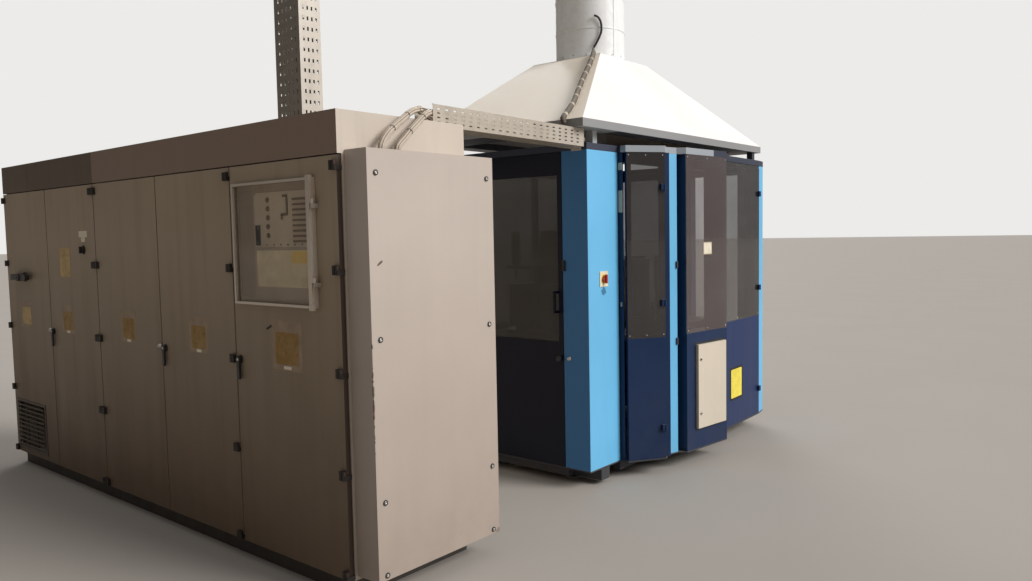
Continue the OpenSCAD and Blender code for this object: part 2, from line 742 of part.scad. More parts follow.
// Out of the end cover's top, over the edge of the roof cap, along the tray and in under the hood
function over_cap(y, x, pts) = [for (q = pts) [x + q[0], y + q[1], roof_z + q[2]]];
function bundle_run(start, across) = concat(smooth_path(concat([[72, start[0][1] - 3, cover_top - 270],
        [72, start[0][1] - 2, cover_top - 60]], start, [in_tray(60, across, 50), in_tray(170, across, 12),
        in_tray(300, across)]), 4),
    [in_tray(315, across), in_tray(tray_l - 215, across)],
    smooth_path([in_tray(tray_l - 200, across), in_tray(tray_l - 90, across, 22), on_deck(40, across)], 3));
bundle_runs = [
    bundle_run(over_cap(cab_back, 0, [[72, -638, -164], [66, -600, -108], [56, -546, -66], [40, -478, -24],
        [8, -380, 30], [-74, -238, 68], [-206, -132, 88]]), 112),
    bundle_run(over_cap(cab_back, 0, [[72, -536, -164], [66, -487, -118], [56, -436, -74], [42, -372, -26],
        [12, -292, 22], [-52, -196, 52], [-142, -136, 68]]), 44)];
module cable_bundles() {
    place("#a39888") for (run = bundle_runs) sweep(run, bundle_d / 2);
}

// Base beams, legs and table of the machine, with the ring and the sill plate that carry the guards
module ring2d(w) {
    difference() {
        translate([guard_x0 + rail_in, guard_y + rail_in]) square([guard_w - rail_in, guard_d - 2 * rail_in]);
        translate([guard_x0 + rail_in + w, guard_y + rail_in + w])
            square([guard_w - rail_in - 2 * w, guard_d - 2 * rail_in - 2 * w]);
        translate([guard_x1 - pillar_w, guard_y]) square([pillar_w + 1, pillar_d]);
    }
}
module machine_base() {
    xs = [base_x0, (base_x0 + base_x1 - beam) / 2, base_x1 - beam];
    ys = [base_y0, base_y1 - beam];
    place("#26292f") {
        for (y = ys) box3([guard_x0 + rail_in, y, feet_h], [guard_x1 - 1, y + beam, guard_z - sill_t]);
        for (x = xs) box3([x, base_y0, feet_h], [x + beam, base_y1, guard_z - sill_t]);
        for (x = xs, y = ys) box3([x, y, feet_h], [x + beam, y + beam, table_z - table_t]);
        box3([base_x0, base_y0, table_z - table_t], [base_x1, base_y1, table_z]);
        translate([0, 0, guard_z - sill_t - post]) linear_extrude(post) ring2d(post);
        translate([0, 0, guard_z - sill_t]) linear_extrude(sill_t) difference() {
            polygon(outline);
            translate([guard_x0 + well, guard_y + well])
                square([guard_w - pillar_w - well, guard_d - 2 * well]);
        }
    }
}
module levelling_feet() {
    place("#6c6a66") for (x = [base_x0 + beam / 2, (base_x0 + base_x1) / 2, base_x1 - beam / 2],
        y = [base_y0 + beam / 2, base_y1 - beam / 2]) translate([x, y, 0]) {
            cylinder(d = 110, h = 12);
            cylinder(d = 30, h = feet_h);
        }
}

// Upright posts behind the guards with the hinges' fixed halves, and the top rails
post_at = [[guard_x0 + rail_in, guard_y + rail_in], [front_door_x + tongue - post, guard_y + rail_in],
    [guard_x0 + rail_in, guard_y1 - rail_in - post], [guard_x0 + guard_w * 0.6, guard_y1 - rail_in - post],
    [guard_x1 - post, guard_y1 - rail_in - post]];
jamb = 50;
module jamb_post(w) {
    translate([w - tongue, rail_in, guard_z]) cube([jamb, jamb, guard_h]);
}
module guard_frame() {
    place(dark_blue) {
        for (p = post_at) translate([p[0], p[1], guard_z]) cube([post, post, guard_h]);
        translate([0, 0, guard_top - post]) linear_extrude(post) ring2d(post);
        // Closing strip behind the pillar, which the angled door shuts against
        translate([guard_x1 - post, pillar_y1 + 6, guard_z]) cube([post + 38, 6, guard_h]);
        translate([front_door_x, guard_y, 0]) hinge_row(0, -1, guard_hinges) hinge_fixed(rail_in);
        on_guard(angled) {
            hinge_row(angled_door_w, 1, guard_hinges) hinge_fixed(rail_in);
            jamb_post(angled_door_w);
        }
        on_guard(side) {
            hinge_row(side_door_w, 1, guard_hinges) hinge_fixed(rail_in);
            jamb_post(side_door_w);
        }
    }
}

module corner_pillar() {
    place(light_blue) translate([guard_x1 - pillar_w, guard_y, guard_z]) difference() {
        cube([pillar_w, pillar_d, guard_h]);
        translate([skin, skin, -1]) cube([pillar_w - 2 * skin, pillar_d - 2 * skin, guard_h + 2]);
    }
}
switch_y = guard_y + pillar_d * 0.49;
switch_z = guard_z + guard_h * 0.6;
module switch_plate() {
    place("#d8c63a") translate([guard_x1, switch_y, switch_z]) difference() {
        translate([0, -48, -52]) cube([5, 96, 104]);
        rotate([0, 90, 0]) translate([0, 0, -1]) cylinder(d = 24, h = 8);
    }
}
module pillar_switch() {
    place("#b3251e") translate([guard_x1, switch_y, switch_z]) rotate([0, 90, 0]) {
        translate([0, 0, run_gap]) cylinder(d = 23, h = 6);
        translate([0, 0, 5 + run_gap]) cylinder(d = 52, h = 14);
        translate([-30, -7, 18]) cube([60, 14, 14]);
    }
}

// A guard leaf in its own frame: folded lower panel and a framed window above it.
// A lapped leaf's upper frame is set back for a pane that covers all of it, but for the hinges' pads.
module leaf_shell(w, z0, z1, sill, head = leaf_bar, lapped = false, pads = false) {
    difference() {
        translate([0, 0, z0]) cube([w, leaf_t, z1 - z0]);
        translate([leaf_bar, -1, sill]) cube([w - 2 * leaf_bar, leaf_t + 2, z1 - head - sill]);
        if (!lapped) translate([leaf_bar - 9, leaf_t / 2, sill - 9])
            cube([w - 2 * leaf_bar + 18, leaf_t, z1 - head - sill + 18]);
        translate([leaf_bar, skin, z0 + leaf_bar]) cube([w - 2 * leaf_bar, leaf_t, sill - z0 - 2 * leaf_bar]);
        if (lapped) difference() {
            translate([-1, -1, sill]) cube([w + 2, pane_t + 1, z1 - sill + 1]);
            if (pads) hinge_pads(w, 0);
        }
    }
}
module hinge_pads(w, grow) {
    for (z = guard_hinges) translate([w - min(leaf_bar, 36) - grow, -2, z - barrel_h - 2 - grow])
        cube([42, pane_t + 4, 2 * barrel_h + 4 + 2 * grow]);
}
module lapped_pane(w, z1, sill, pads = false) {
    difference() {
        translate([0, 0, sill + 1]) cube([w, pane_t - 0.1, z1 - sill - 1]);
        if (pads) hinge_pads(w, 0.5);
    }
}
module leaf_pane(w, z1, sill, head = leaf_bar) {
    translate([leaf_bar - 8, leaf_t / 2, sill - 8])
        cube([w - 2 * leaf_bar + 16, pane_t, z1 - head - sill + 16]);
}
guard_hinges = [guard_z + 220, (guard_z + guard_top) / 2 + 30, guard_top - 240];
z_lo = guard_z + 2;
z_hi = guard_top - 3;
// A bow handle on a leaf's face
module bow_handle(x, z, l = 150) {
    for (e = [0, l - 16]) translate([x - 8, -38, z + e]) cube([16, 38, 16]);
    translate([x - 8, -46, z]) cube([16, 12, l]);
}
module front_door() {
    place(dark_blue) translate([front_door_x, guard_y, 0]) {
        translate([door_gap, 0, 0]) {
            leaf_shell(front_door_w, z_lo, z_hi, sill_z, head_bar);
            bow_handle(front_door_w - 40, sill_z + 200);
        }
        hinge_row(0, -1, guard_hinges) hinge_leaf();
    }
}
module front_door_pane() {
    place(smoked) translate([front_door_x + door_gap, guard_y, 0]) leaf_pane(front_door_w, z_hi, sill_z, head_bar);
}
module angled_door() {
    place(dark_blue) on_guard(angled) {
        translate([door_gap, 0, 0])
            leaf_shell(angled_door_w - 2 * door_gap, z_lo, z_hi, sill_z, lapped = true, pads = true);
        hinge_row(angled_door_w, 1, guard_hinges) hinge_leaf();
    }
}
module angled_door_pane() {
    place(smoked) on_guard(angled) translate([door_gap, 0, 0])
        lapped_pane(angled_door_w - 2 * door_gap, z_hi, sill_z, true);
}
module side_door() {
    place("#2f4a72") on_guard(side) {
        translate([door_gap, 0, 0])
            leaf_shell(side_door_w - 2 * door_gap, z_lo, z_hi, sill_z, lapped = true, pads = true);
        hinge_row(side_door_w, 1, guard_hinges) hinge_leaf();
    }
}
module side_door_pane() {
    place(smoked) on_guard(side) translate([door_gap, 0, 0])
        lapped_pane(side_door_w - 2 * door_gap, z_hi, sill_z, true);
}

// Service box beside the angled door: electrical compartment below, glazing above
box_deep = 200;
box_top = sill_z - 12;
elec_z = guard_z + 150;
elec_x = elec_mid - elec_w / 2;
elec_pins = [elec_z + 90, elec_z + elec_h - 90];
module service_box() {
    place(dark_blue) on_guard(box) {
        difference() {
            union() {
                translate([0, 0, guard_z]) cube([box_w, box_deep, box_top - guard_z]);
                leaf_shell(box_w, sill_z - 60, guard_top, sill_z, lapped = true);
                // Side sheets up to the roof
                for (x = [0, box_w - skin]) translate([x, pane_t, box_top - 1])
                    cube([skin, box_deep - pane_t, guard_top - box_top + 1]);
            }
            translate([skin, skin, guard_z + skin])
                cube([box_w - 2 * skin, box_deep - 2 * skin, box_top - guard_z - 2 * skin]);
            translate([elec_x + 12, -1, elec_z + 12]) cube([elec_w - 24, skin + 2, elec_h - 24]);
        }
        // Fixed halves of the electrical door's two hinges
        for (z = elec_pins) translate([elec_x + elec_w + 7, -elec_out / 2, z - 18]) {
            cylinder(r = 6, h = 18 - run_gap);
            cylinder(r = 2.5, h = 34);
            translate([-3, 0, 0]) cube([6, elec_out / 2, 18 - run_gap]);
        }
    }
}
module electrical_door() {
    place(hood_white) on_guard(box) {
        translate([elec_x, -elec_out, elec_z]) pan(elec_w, elec_out - 1, elec_h, 2);
        for (z = elec_pins) translate([elec_x + elec_w + 7, -elec_out / 2, z]) difference() {
            union() {
                cylinder(r = 6, h = 18);
                translate([-7.5, -6, 0]) cube([7.5, 6, 18]);
            }
            translate([0, 0, -1]) cylinder(r = 2.5 + run_gap, h = 20);
        }
        for (z = [elec_z + 110, elec_z + elec_h - 110]) translate([elec_x + 32, -elec_out, z])
            rotate([90, 0, 0]) cylinder(d = 22, h = 4);
    }
}

// Light blue strips: beside the angled door and at the far end, folded as channels
module channel(w, d) {
    translate([0, 0, guard_z]) linear_extrude(guard_h) difference() {
        square([w, d]);
        translate([skin, skin]) square([w - 2 * skin, d]);
    }
}
module trim_strips() {
    place(light_blue) {
        on_guard(strip) channel(strip_w, 50);
        on_guard(end_strip) channel(end_strip[3] - 2, 20);
    }
}

// Fixed guards on the other sides: front left, far side and rear
wall_runs = [
    // start x, start y, angle, width
    [guard_x0 + leaf_t, guard_y, 90, front_door_x - guard_x0 - leaf_t - 1],
    [guard_x0, guard_y1 - leaf_t, 180, guard_d / 2 - leaf_t],
    [guard_x0, guard_y1 - guard_d / 2, 180, guard_d / 2],
    [guard_x0 + guard_w * 0.6 + post, guard_y1, 270, guard_w * 0.6 + post]];
module on_run(r) {
    translate([r[0], r[1], 0]) rotate([0, 0, 90 - r[2]]) children();
}
gate_z = table_z - 60;
module rear_pan(x0, x1, z1) {
    translate([x1, guard_y1, guard_z]) rotate([0, 0, 180]) pan(x1 - x0, leaf_t, z1 - guard_z, skin);
}
module wall_panels() {
    place(dark_blue) {
        for (r = wall_runs) on_run(r) leaf_shell(r[3], guard_z, guard_top, sill_z);
        // Low panel under the infeed and outlet gate, and the full-height filler beside it
        rear_pan(guard_x0 + guard_w * 0.6 + post, guard_x1 - 12, gate_z);
        rear_pan(guard_x1 - 11, end_x - 24, guard_top);
    }
}
module wall_panes() {
    place(smoked) {
        for (r = wall_runs) on_run(r) leaf_pane(r[3], guard_top, sill_z);
        on_guard(box) lapped_pane(box_w, guard_top, sill_z);
    }
}

module roof_plate() {
    place("#c9c7c2") translate([0, 0, guard_top]) linear_extrude(roof_t) difference() {
        polygon(outline);
        translate([guard_x0 + well, guard_y + well]) square([guard_w - pillar_w - well, guard_d - 2 * well]);
    }
}

// Frame under the hood's lip and its four posts on the roof plate
hood_in = 90;
hood_posts = [[hood_x1 - hood_in - 50, hood_y0 + 240], [guard_x0 + 40, hood_y0 + 240]];
rear_posts = [[hood_x1 - 65, guard_y1], [guard_x0 + 40, guard_y1]];
module hood_frame() {
    place("#2b2d33") {
        for (p = hood_posts) translate([p[0], p[1], deck_z]) cube([50, 50, hood_gap]);
        for (p = rear_posts) translate([p[0], p[1], guard_top - 5]) cube([50, 50, roof_t + 5 + hood_gap]);
        translate([0, 0, hood_z]) linear_extrude(lip_h - hood_t) difference() {
            translate([hood_x0 + hood_t, hood_y0 + hood_t])
                square([hood_w - 2 * hood_t, hood_l - 2 * hood_t]);
            translate([hood_x0 + 150, hood_y0 + 300]) square([hood_w - 300, hood_l - 600]);
        }
    }
}
// Frustum between two rectangles
module frustum(x0, y0, w0, l0, z0, x1, y1, w1, l1, z1) {
    polyhedron(points = [[x0, y0, z0], [x0 + w0, y0, z0], [x0 + w0, y0 + l0, z0], [x0, y0 + l0, z0],
            [x1, y1, z1], [x1 + w1, y1, z1], [x1 + w1, y1 + l1, z1], [x1, y1 + l1, z1]],
        faces = [[0, 1, 2, 3], [7, 6, 5, 4], [0, 4, 5, 1], [1, 5, 6, 2], [2, 6, 7, 3], [3, 7, 4, 0]]);
}
module hood_shell() {
    tx = duct_c[0] - top_w / 2;
    ty = duct_c[1] - top_l / 2;
    t = hood_t;
    place(hood_white) {
        difference() {
            frustum(hood_x0, hood_y0, hood_w, hood_l, slope_z, tx, ty, top_w, top_l, hood_top);
            frustum(hood_x0 + 2 * t, hood_y0 + 2 * t, hood_w - 4 * t, hood_l - 4 * t, slope_z - 0.1,
                tx + 2 * t, ty + 2 * t, top_w - 4 * t, top_l - 4 * t, hood_top + 0.1);
        }
        translate([hood_x0, hood_y0, hood_z]) difference() {
            cube([hood_w, hood_l, lip_h]);
            translate([t, t, -1]) cube([hood_w - 2 * t, hood_l - 2 * t, lip_h + 2]);
        }
        translate([duct_c[0], duct_c[1], hood_top]) difference() {
            translate([-top_w / 2, -top_l / 2, 0]) cube([top_w, top_l, top_t]);
            translate([0, 0, -1]) cylinder(d = duct_d - 2 * duct_t, h = top_t + 2, $fn = 96);
        }
    }
}
module hood_duct() {
    place("#d3d7d4") translate([duct_c[0], duct_c[1], hood_top + top_t]) difference() {
        union() {
            cylinder(d = duct_d, h = duct_h, $fn = 96);
            for (z = [0, duct_h - 6]) translate([0, 0, z])
                cylinder(d = duct_d + 2 * duct_flange * (z > 0 ? 1 : 0.5), h = 6, $fn = 96);
            for (z = [duct_h * 0.3, duct_h * 0.62]) translate([0, 0, z])
                cylinder(d = duct_d + 8, h = 8, $fn = 96);
        }
        translate([0, 0, -1]) cylinder(d = duct_d - 2 * duct_t, h = duct_h + 2, $fn = 96);
        for (k = [0 : duct_bolts - 1]) rotate([0, 0, k * 360 / duct_bolts])
            translate([duct_pcd / 2, 0, duct_h - 7]) cylinder(d = duct_bolt_d, h = 8);
    }
}

// Flexible conduit up the hood's front slope beside its corner, and the cable that goes on up the duct
slope_y = duct_c[1] - top_l / 2 - hood_y0;
slope_l = norm([slope_y, hood_rise]);
function on_slope(x, t, out) = [x, hood_y0 + t * slope_y - out * hood_rise / slope_l,
    slope_z + t * hood_rise + out * slope_y / slope_l];
function on_duct(a, z, out) = [duct_c[0] + (duct_d / 2 + out) * cos(a), duct_c[1] + (duct_d / 2 + out) * sin(a), z];
conduit_off = conduit_d / 2 + 4;
conduit_route = [[-150, hood_y0 - conduit_off, slope_z - 30], [-158, hood_y0 - conduit_off, slope_z + 6],
    on_slope(-180, 0.08, conduit_off), on_slope(-222, 0.2, conduit_off), on_slope(-310, 0.38, conduit_off),
    on_slope(-400, 0.57, conduit_off), on_slope(-485, 0.76, conduit_off), on_slope(-543, 0.88, conduit_off),
    on_slope(-600, 0.985, conduit_off)];
conduit_path = smooth_path(conduit_route, 3);
module hood_conduit() {
    place("#8b857c") sweep(conduit_path, conduit_d / 2);
}
cable_r = 9;
conduit_end = conduit_path[len(conduit_path) - 1];
conduit_way = unit(conduit_end - conduit_path[len(conduit_path) - 2]);
cable_route = concat([conduit_end + 0.5 * conduit_way, conduit_end + 12 * conduit_way,
    conduit_end + 24 * conduit_way, conduit_end + [-42, 66, 34]],
    [for (q = [[-51, 75, 14], [-46, 120, 10], [-41, 170, 8], [-38, 215, 8], [-38, 265, 8], [-40, 300, 8],
        [-44, 325, 8], [-49, 335, 8]]) on_duct(q[0], hood_top + q[1] / 800 * duct_h, cable_r + q[2])]);
module duct_cable() {
    place(black) sweep(smooth_path(cable_route, 4), cable_r);
}

// Heating wheel with its mandrels
module heating_wheel() {
    place("#9aa0a5") translate([heat_c[0], heat_c[1], wheel_z]) {
        difference() {
            cylinder(r = heat_r, h = 30, $fn = 96);
            for (k = [0 : 5]) rotate([0, 0, k * 60]) translate([heat_r * 0.52, 0, -1])
                cylinder(r = heat_r * 0.2, h = 32);
        }
        translate([0, 0, -19.7]) cylinder(r = 90, h = 240);
        for (k = [0 : mandrels - 1]) rotate([0, 0, k * 360 / mandrels]) translate([heat_r - 32, 0, 0]) {
            cylinder(r = 22, h = 90);
            cylinder(r = 10, h = 130);
        }
    }
}
module oven_modules() {
    place("#c8c2b4") for (k = [0 : 7]) translate([heat_c[0], heat_c[1], table_z]) rotate([0, 0, -46 + k * 38.9])
        translate([heat_r + 20, -95, 0]) difference() {
            cube([100, 190, oven_h]);
            translate([-1, 12, oven_h * 0.3]) cube([80, 166, oven_h * 0.61]);
            for (f = [0.107, 0.161, 0.214]) translate([90, 30, f * oven_h]) cube([20, 130, 12]);
        }
}
module transfer_star() {
    place("#b9bcc0") translate([star_c[0], star_c[1], 0]) {
        translate([0, 0, table_z + 0.3]) cylinder(r = 26, h = mould_top - table_z + 60);
        translate([0, 0, mould_top + 40]) difference() {
            cylinder(r = star_r, h = 14, $fn = 64);
            for (k = [0 : 5]) rotate([0, 0, k * 60]) translate([star_r, 0, -1]) cylinder(r = 26, h = 16);
        }
    }
}
station_a = 360 / stations;
module blow_wheel() {
    place("#83888e") translate([blow_c[0], blow_c[1], 0]) {
        translate([0, 0, wheel_z]) cylinder(r = blow_r, h = 30, $fn = 96);
        translate([0, 0, table_z + 0.3]) cylinder(r = 95, h = mould_h + 340);
        translate([0, 0, mould_top + 120]) cylinder(r = blow_r, h = 24, $fn = 96);
        for (k = [0 : stations - 1]) rotate([0, 0, k * station_a + 45]) {
            // Fixed mould half on its carrier, with the hinge pin's lugs
            difference() {
                translate([100, -60, wheel_z + 29]) cube([mould_at - 100.5, 120, mould_h + 31]);
                translate([mould_at, 0, mould_z + 20]) cylinder(r = cavity_r, h = mould_h - 60);
                translate([mould_at, 0, mould_z + 20]) cylinder(r = 14, h = mould_h);
            }
            translate([mould_at, 80, wheel_z + 29]) cylinder(r = 8, h = mould_h + 31);
            for (z = [mould_z - 32, mould_top - 40]) translate([mould_at - 40, 50, z])
                cube([40, 30, 30]);
            // Stretch cylinder above the mould
            translate([mould_at, 0, mould_top + 30]) cylinder(r = 12, h = 100);
            translate([mould_at, 0, mould_top + 140]) cylinder(r = 34, h = 260);
        }
    }
}
module mould(i) {
    if (i < stations) place("#a9adb1") translate([blow_c[0], blow_c[1], 0])
        rotate([0, 0, i * station_a + 45]) difference() {
            union() {
                translate([mould_at + 0.5, -60, mould_z]) cube([60, 120, mould_h]);
                translate([mould_at, 80, mould_z + 20]) cylinder(r = 18, h = mould_h - 80);
                translate([mould_at + 0.5, 50, mould_z + 20]) cube([30, 30, mould_h - 80]);
            }
            translate([mould_at, 0, mould_z + 20]) cylinder(r = cavity_r, h = mould_h - 60);
            translate([mould_at, 0, mould_z + 20]) cylinder(r = 14, h = mould_h);
            translate([mould_at, 80, mould_z]) cylinder(r = 8.4, h = mould_h);
        }
}
module mould_1() { mould(0); }
module mould_2() { mould(1); }
module mould_3() { mould(2); }
module mould_4() { mould(3); }

cabinet_plinth();
cabinet_carcass();
roof_cap_left();
roof_cap_right();
end_cover();
end_cover_locks();
door_1();
door_2();
door_3();
door_4();
door_5();
hinge_posts();
latch_2();
latch_4();
latch_5();
window_frame();
window_pane();
operator_panel();
isolator_lever();
selector_knob();
vent_grille();
mounting_plates();
switchgear();
drive_modules();
cable_tray();
tray_brackets();
riser_tray();
cable_bundles();
machine_base();
levelling_feet();
guard_frame();
corner_pillar();
switch_plate();
pillar_switch();
front_door();
front_door_pane();
angled_door();
angled_door_pane();
side_door();
side_door_pane();
service_box();
electrical_door();
trim_strips();
wall_panels();
wall_panes();
roof_plate();
hood_frame();
hood_shell();
hood_duct();
hood_conduit();
duct_cable();
heating_wheel();
oven_modules();
transfer_star();
blow_wheel();
mould_1();
mould_2();
mould_3();
mould_4();
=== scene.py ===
"""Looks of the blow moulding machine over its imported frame: finishes, small parts, light and camera."""
import json
import logging
import math
from dataclasses import dataclass
from enum import Enum
from typing import Callable, Sequence

import bmesh
import bpy
from mathutils import Matrix, Vector

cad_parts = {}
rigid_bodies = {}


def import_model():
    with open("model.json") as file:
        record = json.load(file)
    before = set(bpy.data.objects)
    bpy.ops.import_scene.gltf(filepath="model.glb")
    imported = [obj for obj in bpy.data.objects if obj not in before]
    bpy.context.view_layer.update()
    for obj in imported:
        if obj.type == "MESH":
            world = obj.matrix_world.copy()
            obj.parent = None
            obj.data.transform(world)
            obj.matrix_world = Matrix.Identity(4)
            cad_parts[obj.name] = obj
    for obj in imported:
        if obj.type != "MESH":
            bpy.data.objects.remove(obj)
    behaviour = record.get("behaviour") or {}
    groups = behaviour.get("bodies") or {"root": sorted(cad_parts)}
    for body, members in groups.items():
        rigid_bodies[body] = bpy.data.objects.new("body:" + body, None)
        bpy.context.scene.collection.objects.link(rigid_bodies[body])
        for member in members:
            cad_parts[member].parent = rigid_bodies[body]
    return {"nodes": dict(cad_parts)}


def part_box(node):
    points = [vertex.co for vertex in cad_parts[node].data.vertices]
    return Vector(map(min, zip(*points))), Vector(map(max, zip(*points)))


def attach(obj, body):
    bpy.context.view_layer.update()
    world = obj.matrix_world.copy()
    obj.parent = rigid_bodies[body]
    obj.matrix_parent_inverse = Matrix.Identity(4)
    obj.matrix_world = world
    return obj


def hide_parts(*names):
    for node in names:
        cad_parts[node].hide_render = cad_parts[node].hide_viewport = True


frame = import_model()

log = logging.getLogger("blow_moulding_machine")
Socket = bpy.types.NodeSocket
Shape = bmesh.types.BMesh
Vert = bmesh.types.BMVert
Colour = tuple[int, int, int]
Shade = tuple[float, float, float, float]
Triple = tuple[float, float, float]
Pair = tuple[float, float]
Row = tuple[float, ...]

# The end cover starts this far behind the door fronts
COVER_SET_BACK = 0.042
COVER_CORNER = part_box("end_cover")[0]
# The door fronts, the end that the cover is on and the floor meet here, in the row frame
DATUM = Vector((COVER_CORNER[0], COVER_CORNER[1] - COVER_SET_BACK, 0.0))
# No point of the object is as far from the datum as this
FAR = 9.0
OPEN: Pair = (-FAR, FAR)
# Across the row: what stands out of the door fronts, and that with the fronts' own skin
PROUD: Pair = (-FAR, -0.0008)
FRONTS: Pair = (-FAR, 0.001)
# A stuck patch stands this far off its sheet
LIFT = 0.0002
# Colours of dirt, dust and bright metal; the corner colour is dirt with painted shade
FLOOR_DIRT: Colour = (84, 76, 66)
CORNER_DIRT_AND_SHADE: Colour = (46, 42, 38)
PATCH_DIRT: Colour = (96, 80, 48)
DUST: Colour = (176, 168, 156)
SHEATH_DUST: Colour = (186, 176, 160)
ZINC_STAIN: Colour = (120, 112, 102)
ZINC_BLOOM: Colour = (226, 224, 218)
ZINC_EDGE: Colour = (238, 236, 232)
BRIGHT_EDGE: Colour = (225, 224, 220)


def at(x: float, y: float, z: float) -> Vector:
    """Returns the row frame's point for metres from the door fronts and the cabinet's end."""
    return DATUM + Vector((x, y, z))


def linear(colour: Colour) -> Shade:
    """Returns the shader colour for red, green and blue as seen, each from 0 to 255."""
    parts = [c / 255 for c in colour]
    return (*[c / 12.92 if c <= 0.04045 else ((c + 0.055) / 1.055) ** 2.4 for c in parts], 1.0)


class Web:
    """The node tree of a material or a world."""

    def __init__(self, owner: bpy.types.Material | bpy.types.World) -> None:
        """Turns the owner's nodes on."""
        owner.use_nodes = True
        self.tree = owner.node_tree

    def node(self, kind: str, *values: object, how: str = "", **named: object) -> bpy.types.Node:
        """Adds a node.

        Args:
            kind: The node's Blender type.
            *values: Values or sockets for its first inputs, in order.
            how: Its operation, where it has one.
            **named: Values or sockets for inputs by name, with _ for a space.

        Returns:
            The new node.
        """
        made = self.tree.nodes.new(kind)
        if how:
            made.operation = how
        for socket, value in zip(made.inputs, values):
            self.feed(socket, value)
        for key, value in named.items():
            self.feed(made.inputs[key.replace("_", " ")], value)
        return made

    def feed(self, socket: Socket, value: object) -> None:
        """Sets an input.

        Args:
            socket: The input.
            value: A socket that is linked to it, or a plain value.
        """
        if isinstance(value, bpy.types.NodeSocket):
            self.tree.links.new(value, socket)
        else:
            socket.default_value = value

    def span(self, value: Socket, low: float, high: float, to_low: float = 0, to_high: float = 1) -> Socket:
        """Returns value moved from low..high to to_low..to_high, and held inside it."""
        return self.node("ShaderNodeMapRange", Value=value, From_Min=low, From_Max=high, To_Min=to_low,
                         To_Max=to_high).outputs["Result"]

    def dot(self, a: Socket, b: Socket | Triple) -> Socket:
        """Returns the dot product of two directions."""
        return self.node("ShaderNodeVectorMath", a, b, how="DOT_PRODUCT").outputs["Value"]


class Shader(Web):
    """A Principled material, with short calls for the nodes that the finishes share."""

    def __init__(self, name: str, colour: Colour) -> None:
        """Starts the material.

        Args:
            name: The finish's name.
            colour: Its colour as seen.
        """
        self.material = bpy.data.materials.new(name)
        super().__init__(self.material)
        self.base = linear(colour)
        self.coat: Socket | Shade = self.base
        self.body = self.tree.nodes["Principled BSDF"]
        self.place = self.node("ShaderNodeTexCoord").outputs["Object"]

    def stretched(self, x: float, y: float, z: float) -> Socket:
        """Returns the object's coordinates multiplied by x, y and z."""
        return self.node("ShaderNodeMapping", Vector=self.place, Scale=(x, y, z)).outputs["Vector"]

    def noise(self, scale: float, detail: float = 4.0, where: Socket | None = None) -> Socket:
        """Returns a noise of that scale on the object's own coordinates, or on those given."""
        return self.node("ShaderNodeTexNoise", Vector=where or self.place, Scale=scale, Detail=detail,
                         Roughness=0.55).outputs["Fac"]

    def calc(self, how: str, a: Socket | float, b: Socket | float) -> Socket:
        """Returns the result of one Math node on a and b."""
        return self.node("ShaderNodeMath", a, b, how=how).outputs["Value"]

    def times(self, a: Socket | float, b: Socket | float) -> Socket:
        """Returns a multiplied by b."""
        return self.calc("MULTIPLY", a, b)

    def tone(self, gain: float, lift: float = 0.0) -> Shade:
        """Returns the base colour with each part times gain, plus lift, and 1 at most."""
        return (*[min(1.0, c * gain + lift) for c in self.base[:3]], 1.0)

    def lay(self, amount: Socket | float, colour: Colour | Shade) -> None:
        """Lays a colour over the coat so far.

        Args:
            amount: How much of it is seen, from 0 to 1.
            colour: The colour as seen, or a shader colour.
        """
        node = self.tree.nodes.new("ShaderNodeMix")
        node.data_type = "RGBA"
        over = linear(colour) if len(colour) == 3 else colour
        for key, value in (("Factor", amount), (6, self.coat), (7, over)):
            self.feed(node.inputs[key], value)
        self.coat = node.outputs[2]

    def along(self, axis: str) -> Socket:
        """Returns the place on the object along X, Y or Z of the row frame, in metres."""
        return self.node("ShaderNodeSeparateXYZ", Vector=self.place).outputs[axis]

    def toward(self, way: Triple, low: float, high: float) -> Socket:
        """Returns a mask of the faces that look along way, from 0 at the cosine low to 1 at high."""
        return self.span(self.dot(self.node("ShaderNodeNewGeometry").outputs["Normal"], way), low, high)

    def upward(self) -> Socket:
        """Returns 1 on faces that look up and 0 on walls."""
        return self.toward((0, 0, 1), 0.35, 0.95)

    def edges(self, radius: float) -> tuple[Socket, Socket]:
        """Finds the folded edges.

        Args:
            radius: Radius of the fold in metres.

        Returns:
            The rounded normal, and a mask that is 1 on the edges.
        """
        soft = self.node("ShaderNodeBevel", Radius=radius)
        soft.samples = 4
        hard = self.node("ShaderNodeNewGeometry").outputs["True Normal"]
        return soft.outputs["Normal"], self.span(self.dot(soft.outputs["Normal"], hard), 0.98, 0.8)

    def bump(self, value: Socket, depth: float, normal: Socket | None = None) -> Socket:
        """Raises the surface.

        Args:
            value: The height, from 0 to 1.
            depth: Metres at its highest.
            normal: The normal that it is laid over, where there is one.

        Returns:
            The raised normal.
        """
        below = {"Normal": normal} if normal else {}
        node = self.node("ShaderNodeBump", Height=value, Strength=1.0, Distance=depth, **below)
        return node.outputs["Normal"]

    def close(self, **links: Socket | float) -> None:
        """Brings the coat and other sockets or values to the material's body."""
        for key, value in {"Base_Color": self.coat, **links}.items():
            self.feed(self.body.inputs[key.replace("_", " ")], value)


